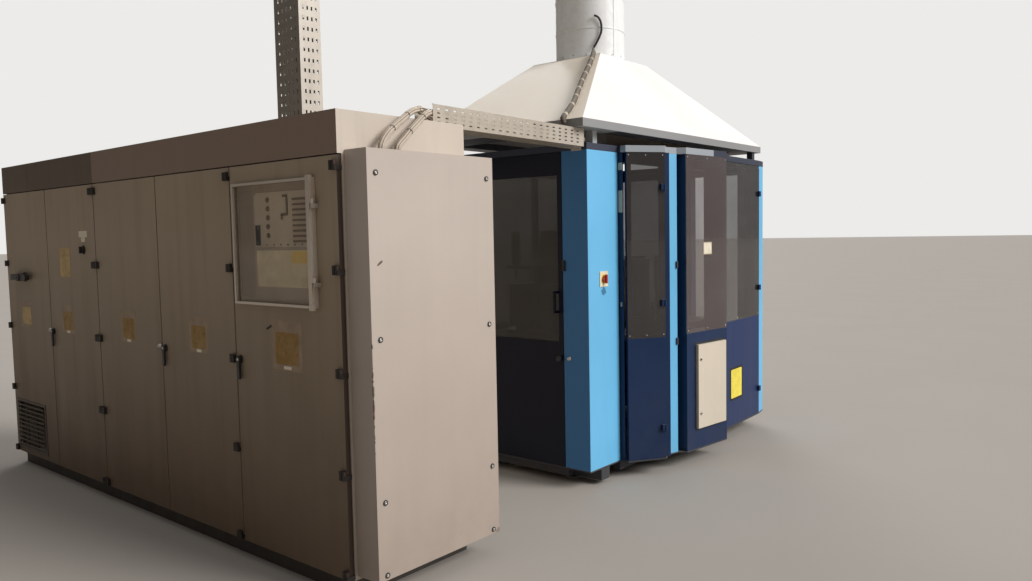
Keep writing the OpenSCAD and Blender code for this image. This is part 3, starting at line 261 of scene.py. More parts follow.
@dataclass(frozen=True)
class Mark:
    """A scratch, chip or stain of a finish, its middle in metres from the datum and its turn in degrees.

    Noise of a scale eats its outline, the more the higher ragged is.
    """

    centre: Triple
    reach: Triple
    colour: Colour
    ragged: float = 0.35
    scale: float = 30.0
    turn: Triple = (0.0, 0.0, 0.0)

    def mask(self, s: Shader) -> Socket:
        """Marks the place on the object.

        Args:
            s: The shader that it is built in.

        Returns:
            A mask that is 1 in the mark.
        """
        node = s.node("ShaderNodeMapping", Vector=s.place)
        node.vector_type = "TEXTURE"
        turn = [math.radians(a) for a in self.turn]
        for name, value in (("Location", at(*self.centre)), ("Rotation", turn), ("Scale", self.reach)):
            node.inputs[name].default_value = value
        far = s.node("ShaderNodeVectorMath", node.outputs["Vector"], how="LENGTH").outputs["Value"]
        eaten = s.calc("ADD", far, s.span(s.noise(self.scale, 3), 0.3, 0.7, -self.ragged, self.ragged))
        return s.span(eaten, 1.0, 0.85)


@dataclass(frozen=True)
class Zone:
    """A part of a node that has another colour, its own or painted shade: what lies between limits in metres
    from the datum.
    """

    colour: Colour
    x: Pair = OPEN
    y: Pair = OPEN
    z: Pair = OPEN

    def mask(self, s: Shader) -> Socket:
        """Marks the zone.

        Args:
            s: The shader that it is built in.

        Returns:
            A mask that is 1 between the limits.
        """
        inside = 1.0
        for axis, start, limits in zip("XYZ", DATUM, (self.x, self.y, self.z)):
            for how, limit in zip(("GREATER_THAN", "LESS_THAN"), limits):
                if abs(limit) < FAR:
                    inside = s.times(inside, s.calc(how, s.along(axis), start + limit))
        return inside


@dataclass(frozen=True)
class Finish:
    """What every finish has: a name, a colour and a gloss."""

    name: str
    colour: Colour
    roughness: float = 0.45

    def make(self) -> bpy.types.Material:
        """Makes the finish.

        Returns:
            Its material.
        """
        shader = Shader(self.name, self.colour)
        self.dress(shader)
        return shader.material

    def dress(self, s: Shader) -> None:
        """Builds the finish's nodes in a shader."""
        raise NotImplementedError


@dataclass(frozen=True)
class Paint(Finish):
    """Powder coat on sheet: orange peel, faded patches, wiped streaks, dust, and chips along folded edges.

    Where low is set, it darkens downward between the two heights given, but not behind low_before: painted
    shade towards the floor. The front colour is painted on the faces that look at the aisle, as painted light
    or shade on that side.
    """

    bare: Colour = (150, 146, 140)
    wear: float = 0.3
    grime: float = 0.35
    grime_top: float = 0.6
    dust: float = 0.5
    fold: float = 0.003
    low: float = 0.0
    low_tint: Triple = (0.40, 0.32, 0.25)
    low_before: float = FAR
    low_shade_top: float = 1.7
    low_shade_foot: float = 0.2
    shine: float = 0.5
    front: Colour | None = None
    marks: tuple[Mark, ...] = ()
    zones: tuple[Zone, ...] = ()

    def dress(self, s: Shader) -> None:
        """Builds the coat's nodes.

        Args:
            s: The shader that they are built in.
        """
        cloud = s.noise(1.3, 7)
        streak = s.noise(1.0, 5, s.stretched(11, 11, 0.7))
        normal, edge = s.edges(self.fold)
        s.lay(s.span(cloud, 0.35, 0.7, 0.0, 0.8), s.tone(1.1, 0.008))
        s.lay(s.span(streak, 0.5, 0.78, 0.0, self.grime), s.tone(0.72))
        # Painted shade: darker towards the floor, and on the fronts only where low_before is set
        if self.low:
            low_shade = s.span(s.along("Z"), self.low_shade_top, self.low_shade_foot, 0.0, self.low)
            outer = s.calc("LESS_THAN", s.along("Y"), DATUM.y + self.low_before)
            shade = (*[c * k for c, k in zip(s.base, self.low_tint)], 1.0)
            s.lay(s.times(low_shade, outer), shade)
        spatter = s.times(s.span(s.along("Z"), self.grime_top, 0.0), s.span(s.noise(7, 6), 0.35, 0.7))
        s.lay(s.times(spatter, self.grime), FLOOR_DIRT)
        # Dirt and painted shade: darker in corners and recesses, found by ambient occlusion
        occlusion = s.node("ShaderNodeAmbientOcclusion", Distance=0.05)
        occlusion.samples = 4
        corner = s.span(occlusion.outputs["AO"], 0.75, 0.3, 0.0, 0.55 * self.grime + 0.1)
        s.lay(corner, CORNER_DIRT_AND_SHADE)
        settled = s.times(s.upward(), s.span(s.noise(4, 5), 0.2, 0.75, 0.3, 1.0))
        s.lay(s.times(settled, self.dust), DUST)
        chips = s.times(edge, s.span(s.noise(26, 4), 0.52, 0.6, 0.0, self.wear))
        s.lay(chips, self.bare)
        # Painted light or shade on the faces that look at the aisle
        if self.front:
            s.lay(s.toward((0, -1, 0), 0.3, 0.5), self.front)
        for part in (*self.marks, *self.zones):
            s.lay(part.mask(s), part.colour)
        rough = s.span(s.calc("ADD", cloud, streak), 0.6, 1.4, self.roughness - 0.08, self.roughness + 0.14)
        wavy = s.bump(s.noise(2.2, 2), 0.0016, normal)
        s.close(Roughness=rough, Normal=s.bump(s.noise(420, 2), 0.00012, wavy), Specular_IOR_Level=self.shine)


@dataclass(frozen=True)
class Zinc(Finish):
    """Galvanised sheet with its spangle, dull patches and dust; the faces on the aisle's side can be darkened
    as painted shade.
    """

    metal: float = 0.55
    spangle: float = 42.0
    streaks: float = 0.25
    front: float = 0.0

    def dress(self, s: Shader) -> None:
        """Builds the zinc's nodes.

        Args:
            s: The shader that they are built in.
        """
        cells = s.node("ShaderNodeTexVoronoi", Vector=s.place, Scale=self.spangle)
        grain = s.node("ShaderNodeSeparateColor", Color=cells.outputs["Color"]).outputs[0]
        s.lay(s.span(grain, 0.0, 1.0, 0.0, 0.28), s.tone(0.78))
        runs = s.span(s.noise(1.0, 5, s.stretched(8, 8, 0.8)), 0.5, 0.8, 0.0, self.streaks)
        s.lay(runs, ZINC_STAIN)
        s.lay(s.span(s.noise(2.6, 6), 0.5, 0.75, 0.0, 0.3), ZINC_BLOOM)
        normal, edge = s.edges(0.0012)
        s.lay(s.times(edge, 0.35), ZINC_EDGE)
        # Painted shade on the faces that look at the aisle
        if self.front:
            s.lay(s.toward((0, -1, 0), 0.6, 0.9), s.tone(self.front))
        rough = s.span(grain, 0, 1, self.roughness - 0.08, self.roughness + 0.12)
        s.close(Roughness=rough, Normal=s.bump(s.noise(60, 3), 0.0002, normal), Metallic=self.metal)


@dataclass(frozen=True)
class Machined(Finish):
    """Turned or milled metal with fine tool lines and an oil film."""

    lines: Triple = (3.0, 3.0, 260.0)

    def dress(self, s: Shader) -> None:
        """Builds the metal's nodes.

        Args:
            s: The shader that they are built in.
        """
        tool = s.noise(1.0, 3, s.stretched(*self.lines))
        film = s.noise(6, 5)
        dark = s.tone(0.6)
        s.lay(s.span(film, 0.45, 0.75, 0.0, 0.6), dark)
        s.lay(s.span(tool, 0.4, 0.6, 0.0, 0.25), dark)
        normal, edge = s.edges(0.0015)
        s.lay(s.times(edge, 0.4), BRIGHT_EDGE)
        rough = s.span(film, 0.3, 0.7, self.roughness - 0.06, self.roughness + 0.16)
        s.close(Roughness=rough, Normal=s.bump(tool, 0.00006, normal), Metallic=0.9)


@dataclass(frozen=True)
class Moulded(Finish):
    """Moulded plastic or rubber with a fine grain, handled shine and dust in its corners."""

    def dress(self, s: Shader) -> None:
        """Builds the plastic's nodes.

        Args:
            s: The shader that they are built in.
        """
        dusty = s.tone(0.8, 0.05)
        film = s.noise(9, 5)
        normal, edge = s.edges(0.002)
        s.lay(s.span(film, 0.45, 0.8, 0.0, 0.55), dusty)
        rough = s.span(film, 0.3, 0.7, self.roughness - 0.07, self.roughness + 0.12)
        s.lay(s.times(edge, 0.25), dusty)
        s.close(Roughness=rough, Normal=s.bump(s.noise(320, 2), 0.0001, normal))


@dataclass(frozen=True)
class Vinyl(Finish):
    """A plain stuck patch, faded and dirty, with a lifting surface."""

    dirt: float = 0.45

    def dress(self, s: Shader) -> None:
        """Builds the patch's nodes.

        Args:
            s: The shader that they are built in.
        """
        s.lay(s.span(s.noise(14, 5), 0.4, 0.7), s.tone(1.15, 0.03))
        s.lay(s.span(s.noise(40, 6), 0.5, 0.75, 0.0, self.dirt), PATCH_DIRT)
        rough = s.span(s.noise(22, 3), 0.3, 0.7, self.roughness - 0.1, self.roughness + 0.15)
        s.close(Roughness=rough, Normal=s.bump(s.noise(30, 3), 0.0004))


@dataclass(frozen=True)
class Glazing(Finish):
    """A tinted polycarbonate pane: mostly dark, glossy, with a dusty film and wipe marks."""

    clear: float = 0.35

    def dress(self, s: Shader) -> None:
        """Builds the pane's nodes.

        Args:
            s: The shader that they are built in.
        """
        film = s.noise(3.2, 6, s.stretched(1, 1, 0.45))
        wipe = s.noise(1.0, 4, s.stretched(2.5, 2.5, 9))
        dust = s.times(s.span(film, 0.35, 0.75), s.span(wipe, 0.3, 0.7, 0.35, 1.0))
        s.lay(s.times(dust, 0.5), s.tone(0.7, 0.06))
        rough = s.span(dust, 0, 1, self.roughness, self.roughness + 0.14)
        alpha = s.span(dust, 0, 1, 1 - self.clear, min(1.0, 1 - self.clear + 0.14))
        s.close(Roughness=rough, Alpha=alpha, IOR=1.5, Coat_Weight=0.6, Coat_Roughness=0.03)


@dataclass(frozen=True)
class Sheath(Finish):
    """A cable's or hose's sheath with dust on top, each strand a little different."""

    vary: float = 0.0

    def dress(self, s: Shader) -> None:
        """Builds the sheath's nodes.

        Args:
            s: The shader that they are built in.
        """
        dark = s.tone(0.6)
        strand = s.node("ShaderNodeNewGeometry").outputs["Random Per Island"]
        s.lay(s.span(strand, 0.0, 1.0, 0.0, self.vary), dark)
        s.lay(s.span(s.noise(16, 5), 0.4, 0.75, 0.0, 0.5), dark)
        s.lay(s.times(s.upward(), 0.45), SHEATH_DUST)
        rough = s.span(s.noise(30, 3), 0.3, 0.7, self.roughness - 0.1, self.roughness + 0.1)
        s.close(Roughness=rough, Normal=s.bump(s.noise(150, 3), 0.0003))


class Coat(Enum):
    """The machine's finishes, each named for what it is on."""

    # Door paint: the cabinet's beige darkened as painted shade on the door fronts, with painted shade towards
    # the floor and on door 5's side face in the gap beside the end cover
    CABINET = Paint(
        "cabinet_paint", (159, 142, 120), 0.5, grime=0.4, grime_top=1.0, low=1.0, low_before=FRONTS[1],
        marks=(Mark((-0.56, 0, 1.285), (0.065, 0.05, 0.0085), (38, 28, 22), 0.25, 40, (0, -24, 0)),),
        zones=(Zone((42, 35, 30), y=PROUD), Zone((60, 45, 36), x=(-0.0062, FAR)),
               Zone((172, 158, 142), x=(-0.26, -0.09), y=PROUD, z=(1.3, 2.05))))
    CARCASS = Paint("cabinet_paint", (186, 173, 158), 0.5)
    # Painted shade: the cover darkens towards the floor, and its face towards the aisle is darker
    COVER = Paint(
        "cover_paint", (186, 173, 162), 0.42, grime=0.14, bare=(124, 112, 100), fold=0.0035, low=0.4,
        marks=(Mark((0.153, 0.105, 1.6), (0.05, 0.018, 0.006), (96, 82, 72), 0.3, 60, (32, 0, 0)),
               Mark((0.155, 0.042, 0.98), (0.008, 0.0045, 0.17), (112, 98, 88), 1.0, 34),
               Mark((0.155, 0.885, 0.13), (0.03, 0.022, 0.014), (134, 122, 112), 0.7, 34)),
        zones=(Zone((162, 137, 120), y=FRONTS),))
    # The left cap's colour and the right cap's front are the fascia beige darkened as painted shade
    FASCIA_DARK = Paint("fascia_dark", (98, 84, 70), 0.48, grime=0.3)
    FASCIA = Paint("fascia_paint", (198, 185, 171), 0.48, grime=0.3, zones=(Zone((139, 118, 104), y=FRONTS),))
    PLINTH = Paint("plinth_black", (60, 54, 50), 0.6, wear=0.2)
    HINGE = Moulded("hinge_black", (40, 33, 29), 0.42)
    LOCK = Moulded("lock_black", (44, 40, 38), 0.4)
    LEVER = Moulded("lever_black", (36, 32, 30), 0.38)
    WINDOW = Zinc("window_aluminium", (214, 200, 184), 0.34, metal=0.35, spangle=500.0, streaks=0.08)
    WINDOW_PANE = Glazing("window_glazing", (104, 96, 86), 0.06, clear=0.88)
    PANEL = Moulded("panel_grey", (196, 176, 152), 0.5)
    GRILLE = Paint("grille_grey", (92, 78, 68), 0.55)
    PLATE = Paint("plate_white", (214, 209, 200), 0.5, grime=0.1)
    GEAR = Moulded("gear_grey", (88, 90, 92), 0.5)
    DRIVE = Moulded("drive_grey", (112, 115, 118), 0.5)
    GALVANISED = Zinc("galvanised", (188, 177, 162), 0.42, metal=0.3)
    # The riser's faces towards the aisle are darkened as painted shade
    RISER = Zinc("galvanised", (198, 189, 177), 0.42, metal=0.3, front=0.5)
    BUNDLE = Sheath("cable_beige", (206, 190, 172), 0.62, vary=0.75)
    BASE = Paint("base_dark", (52, 54, 60), 0.55)
    STEEL = Machined("steel", (150, 147, 142), 0.4)
    # The zone is painted shade on the front door, deep between the cabinet and the machine
    DARK_BLUE = Paint("dark_blue", (13, 40, 76), 0.36, grime=0.2, bare=(92, 100, 116), wear=0.2, dust=0.2,
                      shine=0.3, zones=(Zone((4, 9, 32), y=(-FAR, 2.09)),))
    MID_BLUE = Paint("mid_blue", (0, 37, 86), 0.36, grime=0.15, bare=(92, 106, 130), wear=0.2, dust=0.15,
                     shine=0.4)
    # The zone is painted shade on the corner pillar's face towards the aisle
    LIGHT_BLUE = Paint("light_blue", (106, 183, 226), 0.38, grime=0.12, bare=(196, 220, 232), grime_top=0.35,
                       marks=(Mark((-0.07, 2.262, 1.325), (0.03, 0.03, 0.028), (64, 122, 158), 0.6, 50),),
                       zones=(Zone((56, 118, 172), y=(-FAR, 2.0803)),))
    SWITCH_PLATE = Vinyl("switch_yellow", (226, 216, 184), 0.4, dirt=0.2)
    SWITCH_YELLOW = Vinyl("switch_yellow", (232, 212, 72), 0.42, dirt=0.22)
    SWITCH_RED = Moulded("switch_red", (176, 58, 40), 0.35)
    SMOKED = Glazing("smoked_glazing", (58, 53, 51), 0.07, clear=0.42)
    # Copies of the smoked pane: darker as painted shade on the front door's pane, paler as painted reflection
    # on the wall panes
    SMOKED_SHADED = Glazing("smoked_glazing", (34, 31, 30), 0.07, clear=0.25)
    SMOKED_REFLECTING = Glazing("smoked_glazing", (98, 86, 84), 0.07, clear=0.5)
    ELEC = Paint("elec_white", (209, 197, 179), 0.42, grime=0.1, wear=0.2)
    ROOF = Paint("roof_grey", (44, 50, 68), 0.45, grime=0.3, dust=0.3,
                 zones=(Zone((158, 164, 170), x=(-0.045, FAR), y=(-FAR, 3.27)),))
    FRAME = Paint("frame_black", (52, 54, 64), 0.5, wear=0.15,
                  zones=(Zone((176, 180, 182), x=(-0.25, FAR), y=(-FAR, 2.4), z=(2.2, 2.402)),))
    # The hood's front colour is painted light: warmer and brighter on the slope that looks at the aisle
    HOOD = Paint("hood_white", (246, 240, 236), 0.42, front=(255, 242, 224), grime=0.16, wear=0.2, fold=0.005,
                 dust=0.15, zones=(Zone((148, 147, 147), z=(2.3, 2.4545)),))
    DUCT = Zinc("duct_zinc", (247, 247, 245), 0.44, metal=0.0, spangle=30.0, streaks=0.12)
    CONDUIT = Sheath("conduit_grey", (98, 88, 78), 0.6)
    CLIP = Sheath("conduit_grey", (206, 192, 172), 0.5)
    CABLE = Sheath("cable_black", (44, 41, 40), 0.5)
    MACHINE = Machined("machine_steel", (150, 150, 150), 0.38)
    OVEN = Zinc("oven_sheet", (186, 180, 168), 0.36, metal=0.8)
    STAR = Machined("star_aluminium", (188, 190, 192), 0.34)
    MOULD = Machined("mould_aluminium", (186, 187, 188), 0.3, lines=(220.0, 3.0, 3.0))
    PATCH = Vinyl("switch_yellow", (146, 112, 52), 0.55)
    PATCH_FADED = Vinyl("switch_yellow", (186, 158, 108), 0.6)
    # The grey ground is darkened as painted shade, like the shaded door fronts that it is on
    GROUND = Vinyl("panel_grey", (150, 130, 108), 0.6, dirt=0.12)
    PAPER = Vinyl("elec_white", (222, 212, 188), 0.55, dirt=0.12)
    PANEL_PALE = Moulded("panel_grey", (224, 205, 178), 0.48)
    PANEL_DARK = Moulded("panel_grey", (176, 158, 138), 0.5)
    SHEET = Vinyl("panel_grey", (238, 217, 178), 0.55, dirt=0.06)
    FIELD = Vinyl("switch_yellow", (255, 206, 112), 0.5, dirt=0.1)
    KEY = Moulded("gear_grey", (142, 122, 102), 0.5)
    SCREEN = Moulded("gear_grey", (58, 52, 48), 0.25)
    CHROME = Machined("steel", (206, 203, 198), 0.25)
    GASKET = Moulded("cable_black", (26, 25, 24), 0.7)


class Paintbox:
    """Makes each finish once and puts it on nodes and pieces."""

    def __init__(self) -> None:
        """Starts with no finish made."""
        self.made: dict[Coat, bpy.types.Material] = {}

    def get(self, coat: Coat) -> bpy.types.Material:
        """Finds a finish's material, which is made on its first use.

        Args:
            coat: The finish.

        Returns:
            Its material.
        """
        if coat not in self.made:
            self.made[coat] = coat.value.make()
        return self.made[coat]

    def node(self, coat: Coat, name: str) -> None:
        """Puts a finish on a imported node.

        Args:
            coat: The finish.
            name: The node's name.
        """
        slots = frame["nodes"][name].material_slots
        if not len(slots):
            frame["nodes"][name].data.materials.append(self.get(coat))
        for slot in slots:
            slot.link = "OBJECT"
            slot.material = self.get(coat)


@dataclass
class Assembly:
    """What the sub-assemblies share: the finishes, and how a piece is finished and hung on its body."""

    paints: Paintbox

    def dress(self, wear: dict[Coat, str]) -> None:
        """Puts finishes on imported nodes.

        Args:
            wear: The names of the nodes for each finish, with spaces between them.
        """
        for coat, names in wear.items():
            for name in names.split():
                self.paints.node(coat, name)
                log.info("%s: packed node in %s", name, coat.value.name)

    def add(self, name: str, shape: Shape, coat: Coat, body: str = "frame", move: Matrix | None = None,
            smooth: bool = False) -> bpy.types.Object:
        """Adds a piece.

        Args:
            name: The piece's name.
            shape: Its mesh, which is freed.
            coat: Its finish.
            body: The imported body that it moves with.
            move: Where the shape stands in the row frame.
            smooth: Whether its faces are shaded as one curved surface.

        Returns:
            The new piece.
        """
        if move:
            shape.transform(move)
        mesh = bpy.data.meshes.new(name)
        bmesh.ops.recalc_face_normals(shape, faces=shape.faces)
        for face in shape.faces:
            face.smooth = smooth
        shape.to_mesh(mesh)
        shape.free()
        mesh.materials.append(self.paints.get(coat))
        piece = bpy.data.objects.new(name, mesh)
        bpy.context.scene.collection.objects.link(piece)
        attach(piece, body)
        log.info("%s: piece in %s on %s", name, coat.value.name, body)
        return piece

    def build(self) -> None:
        """Dresses the nodes and adds the pieces."""
        raise NotImplementedError


def slab(w: float, d: float, h: float, soft: float = 0.001) -> Shape:
    """Makes a block about the origin.

    Args:
        w: Its width along x.
        d: Its depth along y.
        h: Its height.
        soft: The rounding of its edges.

    Returns:
        The block.
    """
    shape = bmesh.new()
    bmesh.ops.create_cube(shape, size=1.0)
    bmesh.ops.scale(shape, vec=(w, d, h), verts=shape.verts)
    bmesh.ops.bevel(shape, geom=shape.edges[:], offset=min(soft, w / 2.1, d / 2.1, h / 2.1), segments=2,
                    affect="EDGES", profile=0.7)
    return shape


def patch(w: float, h: float, corner: float, thick: float = 0.0006) -> Shape:
    """Makes a thin plate in the xz plane.

    Args:
        w: Its width.
        h: Its height.
        corner: The radius of its corners.
        thick: Its thickness.

    Returns:
        The plate, with its back at y = 0 and its face at -thick.
    """
    shape = bmesh.new()
    ring = []
    for k, (sx, sz) in enumerate(((1, 1), (-1, 1), (-1, -1), (1, -1))):
        for step in range(5):
            a = math.radians(90 * k + 22.5 * step)
            x = sx * (w / 2 - corner) + corner * math.cos(a)
            ring.append(shape.verts.new((x, 0, sz * (h / 2 - corner) + corner * math.sin(a))))
    face = shape.faces.new(ring)
    grown = bmesh.ops.extrude_face_region(shape, geom=[face])
    verts = [v for v in grown["geom"] if isinstance(v, Vert)]
    bmesh.ops.translate(shape, verts=verts, vec=(0, -thick, 0))
    return shape


def circle(shape: Shape, centre: Vector, u: Vector, v: Vector, radius: float, sides: int) -> list[Vert]:
    """Returns a new ring of vertices in shape, round centre in the plane of u and v."""
    angles = [2 * math.pi * k / sides for k in range(sides)]
    return [shape.verts.new(centre + radius * (u * math.cos(a) + v * math.sin(a))) for a in angles]


def skinned(shape: Shape, rings: Sequence[Sequence[Vert]], capped: bool = True) -> Shape:
    """Joins rings of vertices to a tube.

    Args:
        shape: The mesh that holds them.
        rings: The rings in order, each with as many vertices as the next.
        capped: Whether the tube's ends are closed.

    Returns:
        The same mesh.
    """
    for low, high in zip(rings, rings[1:]):
        for k in range(len(low)):
            after = (k + 1) % len(low)
            shape.faces.new((low[k], low[after], high[after], high[k]))
    if capped:
        shape.faces.new(rings[0])
        shape.faces.new(rings[-1])
    return shape


def turned(profile: Sequence[Pair], sides: int = 20) -> Shape:
    """Returns a turned part along -y; its profile has radius and distance from the base on y = 0 outwards."""
    shape, u, v = bmesh.new(), Vector((1, 0, 0)), Vector((0, 0, 1))
    return skinned(shape, [circle(shape, Vector((0, -y, 0)), u, v, r, sides) for r, y in profile])


def joined(parts: Sequence[tuple[Shape, Matrix]]) -> Shape:
    """Makes one shape of several.

    Args:
        parts: The shapes, each with the matrix that moves it.

    Returns:
        The one shape.
    """
    whole = bmesh.new()
    for part, move in parts:
        part.transform(move)
        mesh = bpy.data.meshes.new("part")
        part.to_mesh(mesh)
        part.free()
        whole.from_mesh(mesh)
        bpy.data.meshes.remove(mesh)
    return whole


def screw(radius: float) -> Shape:
    """Returns a low pan-head screw with its washer, pointing along -y."""
    profile = ((1.35, 0), (1.35, 0.2), (1, 0.22), (0.92, 0.6), (0.5, 0.75), (0.2, 0.55))
    return turned([(radius * r, radius * y) for r, y in profile], 14)


def facing(place: Vector, turn: float = 0.0) -> Matrix:
    """Returns the matrix that puts a shape at place and turns its -y face by turn degrees about z."""
    return Matrix.Translation(place) @ Matrix.Rotation(math.radians(turn), 4, "Z")


@dataclass
class ControlCabinet(Assembly):
    """The five-door cabinet with its roof caps, end cover and hardware."""

    patch_x: Row = (-3.76, -3.02, -2.12, -1.28, -0.44)
    patch_z: float = 1.19
    ground_side: float = 0.2
    yellow: Pair = (0.155, 0.13)
    yellow_drop: float = 0.012
    foot: Pair = (0.05, 0.016)
    foot_drop: float = 0.089
    last_size: float = 1.25
    selector_x: float = -2.71
    barrel_x: Row = (-3.325, -1.722, -0.928)
    barrel_z: float = 1.098
    lever_x: Row = (-3.268, -1.658, -0.858)
    lever_face: float = -0.0214
    lever_z: float = 1.09
    lock_reach: float = 0.04
    rear_y: float = 0.841
    rear_x: Row = (-4.07, -2.53, -0.90, -0.03)
    rear_z: float = 1.1
    rear_strip: Triple = (0.05, 0.002, 1.94)
    rear_screws: int = 7
    rear_screw_z: float = 0.2
    rear_pitch: float = 0.3

    def build(self) -> None:
        """Dresses the cabinet."""
        self.dress({
            Coat.PLINTH: "cabinet_plinth", Coat.CARCASS: "cabinet_carcass", Coat.COVER: "end_cover",
            Coat.FASCIA_DARK: "roof_cap_left", Coat.FASCIA: "roof_cap_right", Coat.LOCK: "end_cover_locks",
            Coat.CABINET: "door_1 door_2 door_3 door_4 door_5", Coat.HINGE: "hinge_posts",
            Coat.LEVER: "latch_2 latch_4 latch_5 isolator_lever selector_knob", Coat.GRILLE: "vent_grille",
            Coat.PLATE: "mounting_plates", Coat.GEAR: "switchgear", Coat.DRIVE: "drive_modules"})
        self.patches()
        self.locks()
        self.lock_cores()
        self.rear()

    def patches(self) -> None:
        """Adds the faded patches, plain yellow on a grey ground, and the white plate over the selector."""
        for i, x in enumerate(self.patch_x, 1):
            top = Coat.PATCH_FADED if i == 1 else Coat.PATCH
            k = self.last_size if i == len(self.patch_x) else 1.0
            side, (w, h), (foot_w, foot_h) = self.ground_side, self.yellow, self.foot
            rows = [("ground", k * side, k * side, 0.008, 0.0004, 0.0, Coat.GROUND),
                    ("yellow", k * w, k * h, 0.012, 0.0007, k * self.yellow_drop, top),
                    ("foot", k * foot_w, foot_h, 0.003, 0.0007, k * self.foot_drop, Coat.PAPER)]
            for kind, wide, high, corner, thick, drop, coat in rows[:3 if i > 1 else 2]:
                place = facing(at(x, -LIFT, self.patch_z - drop))
                self.add(f"patch_{kind}_{i}", patch(wide, high, corner, thick), coat, f"door_{i}", place)
        for name, w, h, corner, thick, coat, x, z in (
                ("patch_upper", 0.17, 0.2, 0.008, 0.0006, Coat.PATCH_FADED, self.patch_x[1], 1.585),
                ("selector_plate", 0.125, 0.042, 0.004, 0.0012, Coat.PAPER, self.selector_x, 1.775),
                ("selector_tag", 0.06, 0.03, 0.003, 0.0012, Coat.PAPER, self.selector_x, 1.738)):
            self.add(name, patch(w, h, corner, thick), coat, "door_2", facing(at(x, -LIFT, z)))

    def locks(self) -> None:
        """Adds the bright lock barrels beside the levers, and the levers' screws."""
        barrel = ((0.015, 0), (0.015, 0.004), (0.012, 0.006), (0.012, 0.013), (0.0095, 0.015),
                  (0.004, 0.0155), (0.003, 0.0135))
        for i, (x, door) in enumerate(zip(self.barrel_x, ("door_1", "door_3", "door_4")), 1):
            place = facing(at(x, 0, self.barrel_z))
            self.add(f"lock_barrel_{i}", turned(barrel), Coat.CHROME, door, place, True)
        for x, latch in zip(self.lever_x, ("latch_2", "latch_4", "latch_5")):
            place = facing(at(x, self.lever_face, self.lever_z))
            self.add(f"{latch}_screw", screw(0.006), Coat.CHROME, latch, place, True)

    def lock_cores(self) -> None:
        """Adds the bright core of each lock on the end cover, found on the node's own faces."""
        node = frame["nodes"]["end_cover_locks"]
        spots = [node.matrix_world @ v.co for v in node.data.vertices]
        out = max(p.x for p in spots)
        centres: list[Vector] = []
        for p in spots:
            if not any((p - c).length < self.lock_reach for c in centres):
                near = [q for q in spots if (p - q).length < self.lock_reach]
                middle = sum(near, Vector()) / len(near)
                centres.append(Vector((out, middle.y, middle.z)))
        core = ((0.0078, -0.0035), (0.0078, 0.0004), (0.0062, 0.0012), (0.0022, 0.0012), (0.0018, -0.0008))
        cores = joined([(turned(core, 18), facing(c, 90)) for c in centres])
        self.add("cover_lock_cores", cores, Coat.CHROME, smooth=True)

    def rear(self) -> None:
        """Adds the rear wall's cover strips with their screws."""
        strips, screws = [], []
        for x in self.rear_x:
            strips.append((slab(*self.rear_strip, 0.0008), facing(at(x, self.rear_y, self.rear_z))))
            for k in range(self.rear_screws):
                place = at(x, self.rear_y + self.rear_strip[1] / 2, self.rear_screw_z + self.rear_pitch * k)
                screws.append((screw(0.0045), facing(place, 180)))
        self.add("rear_cover_strips", joined(strips), Coat.CARCASS)
        self.add("rear_strip_screws", joined(screws), Coat.CHROME, smooth=True)


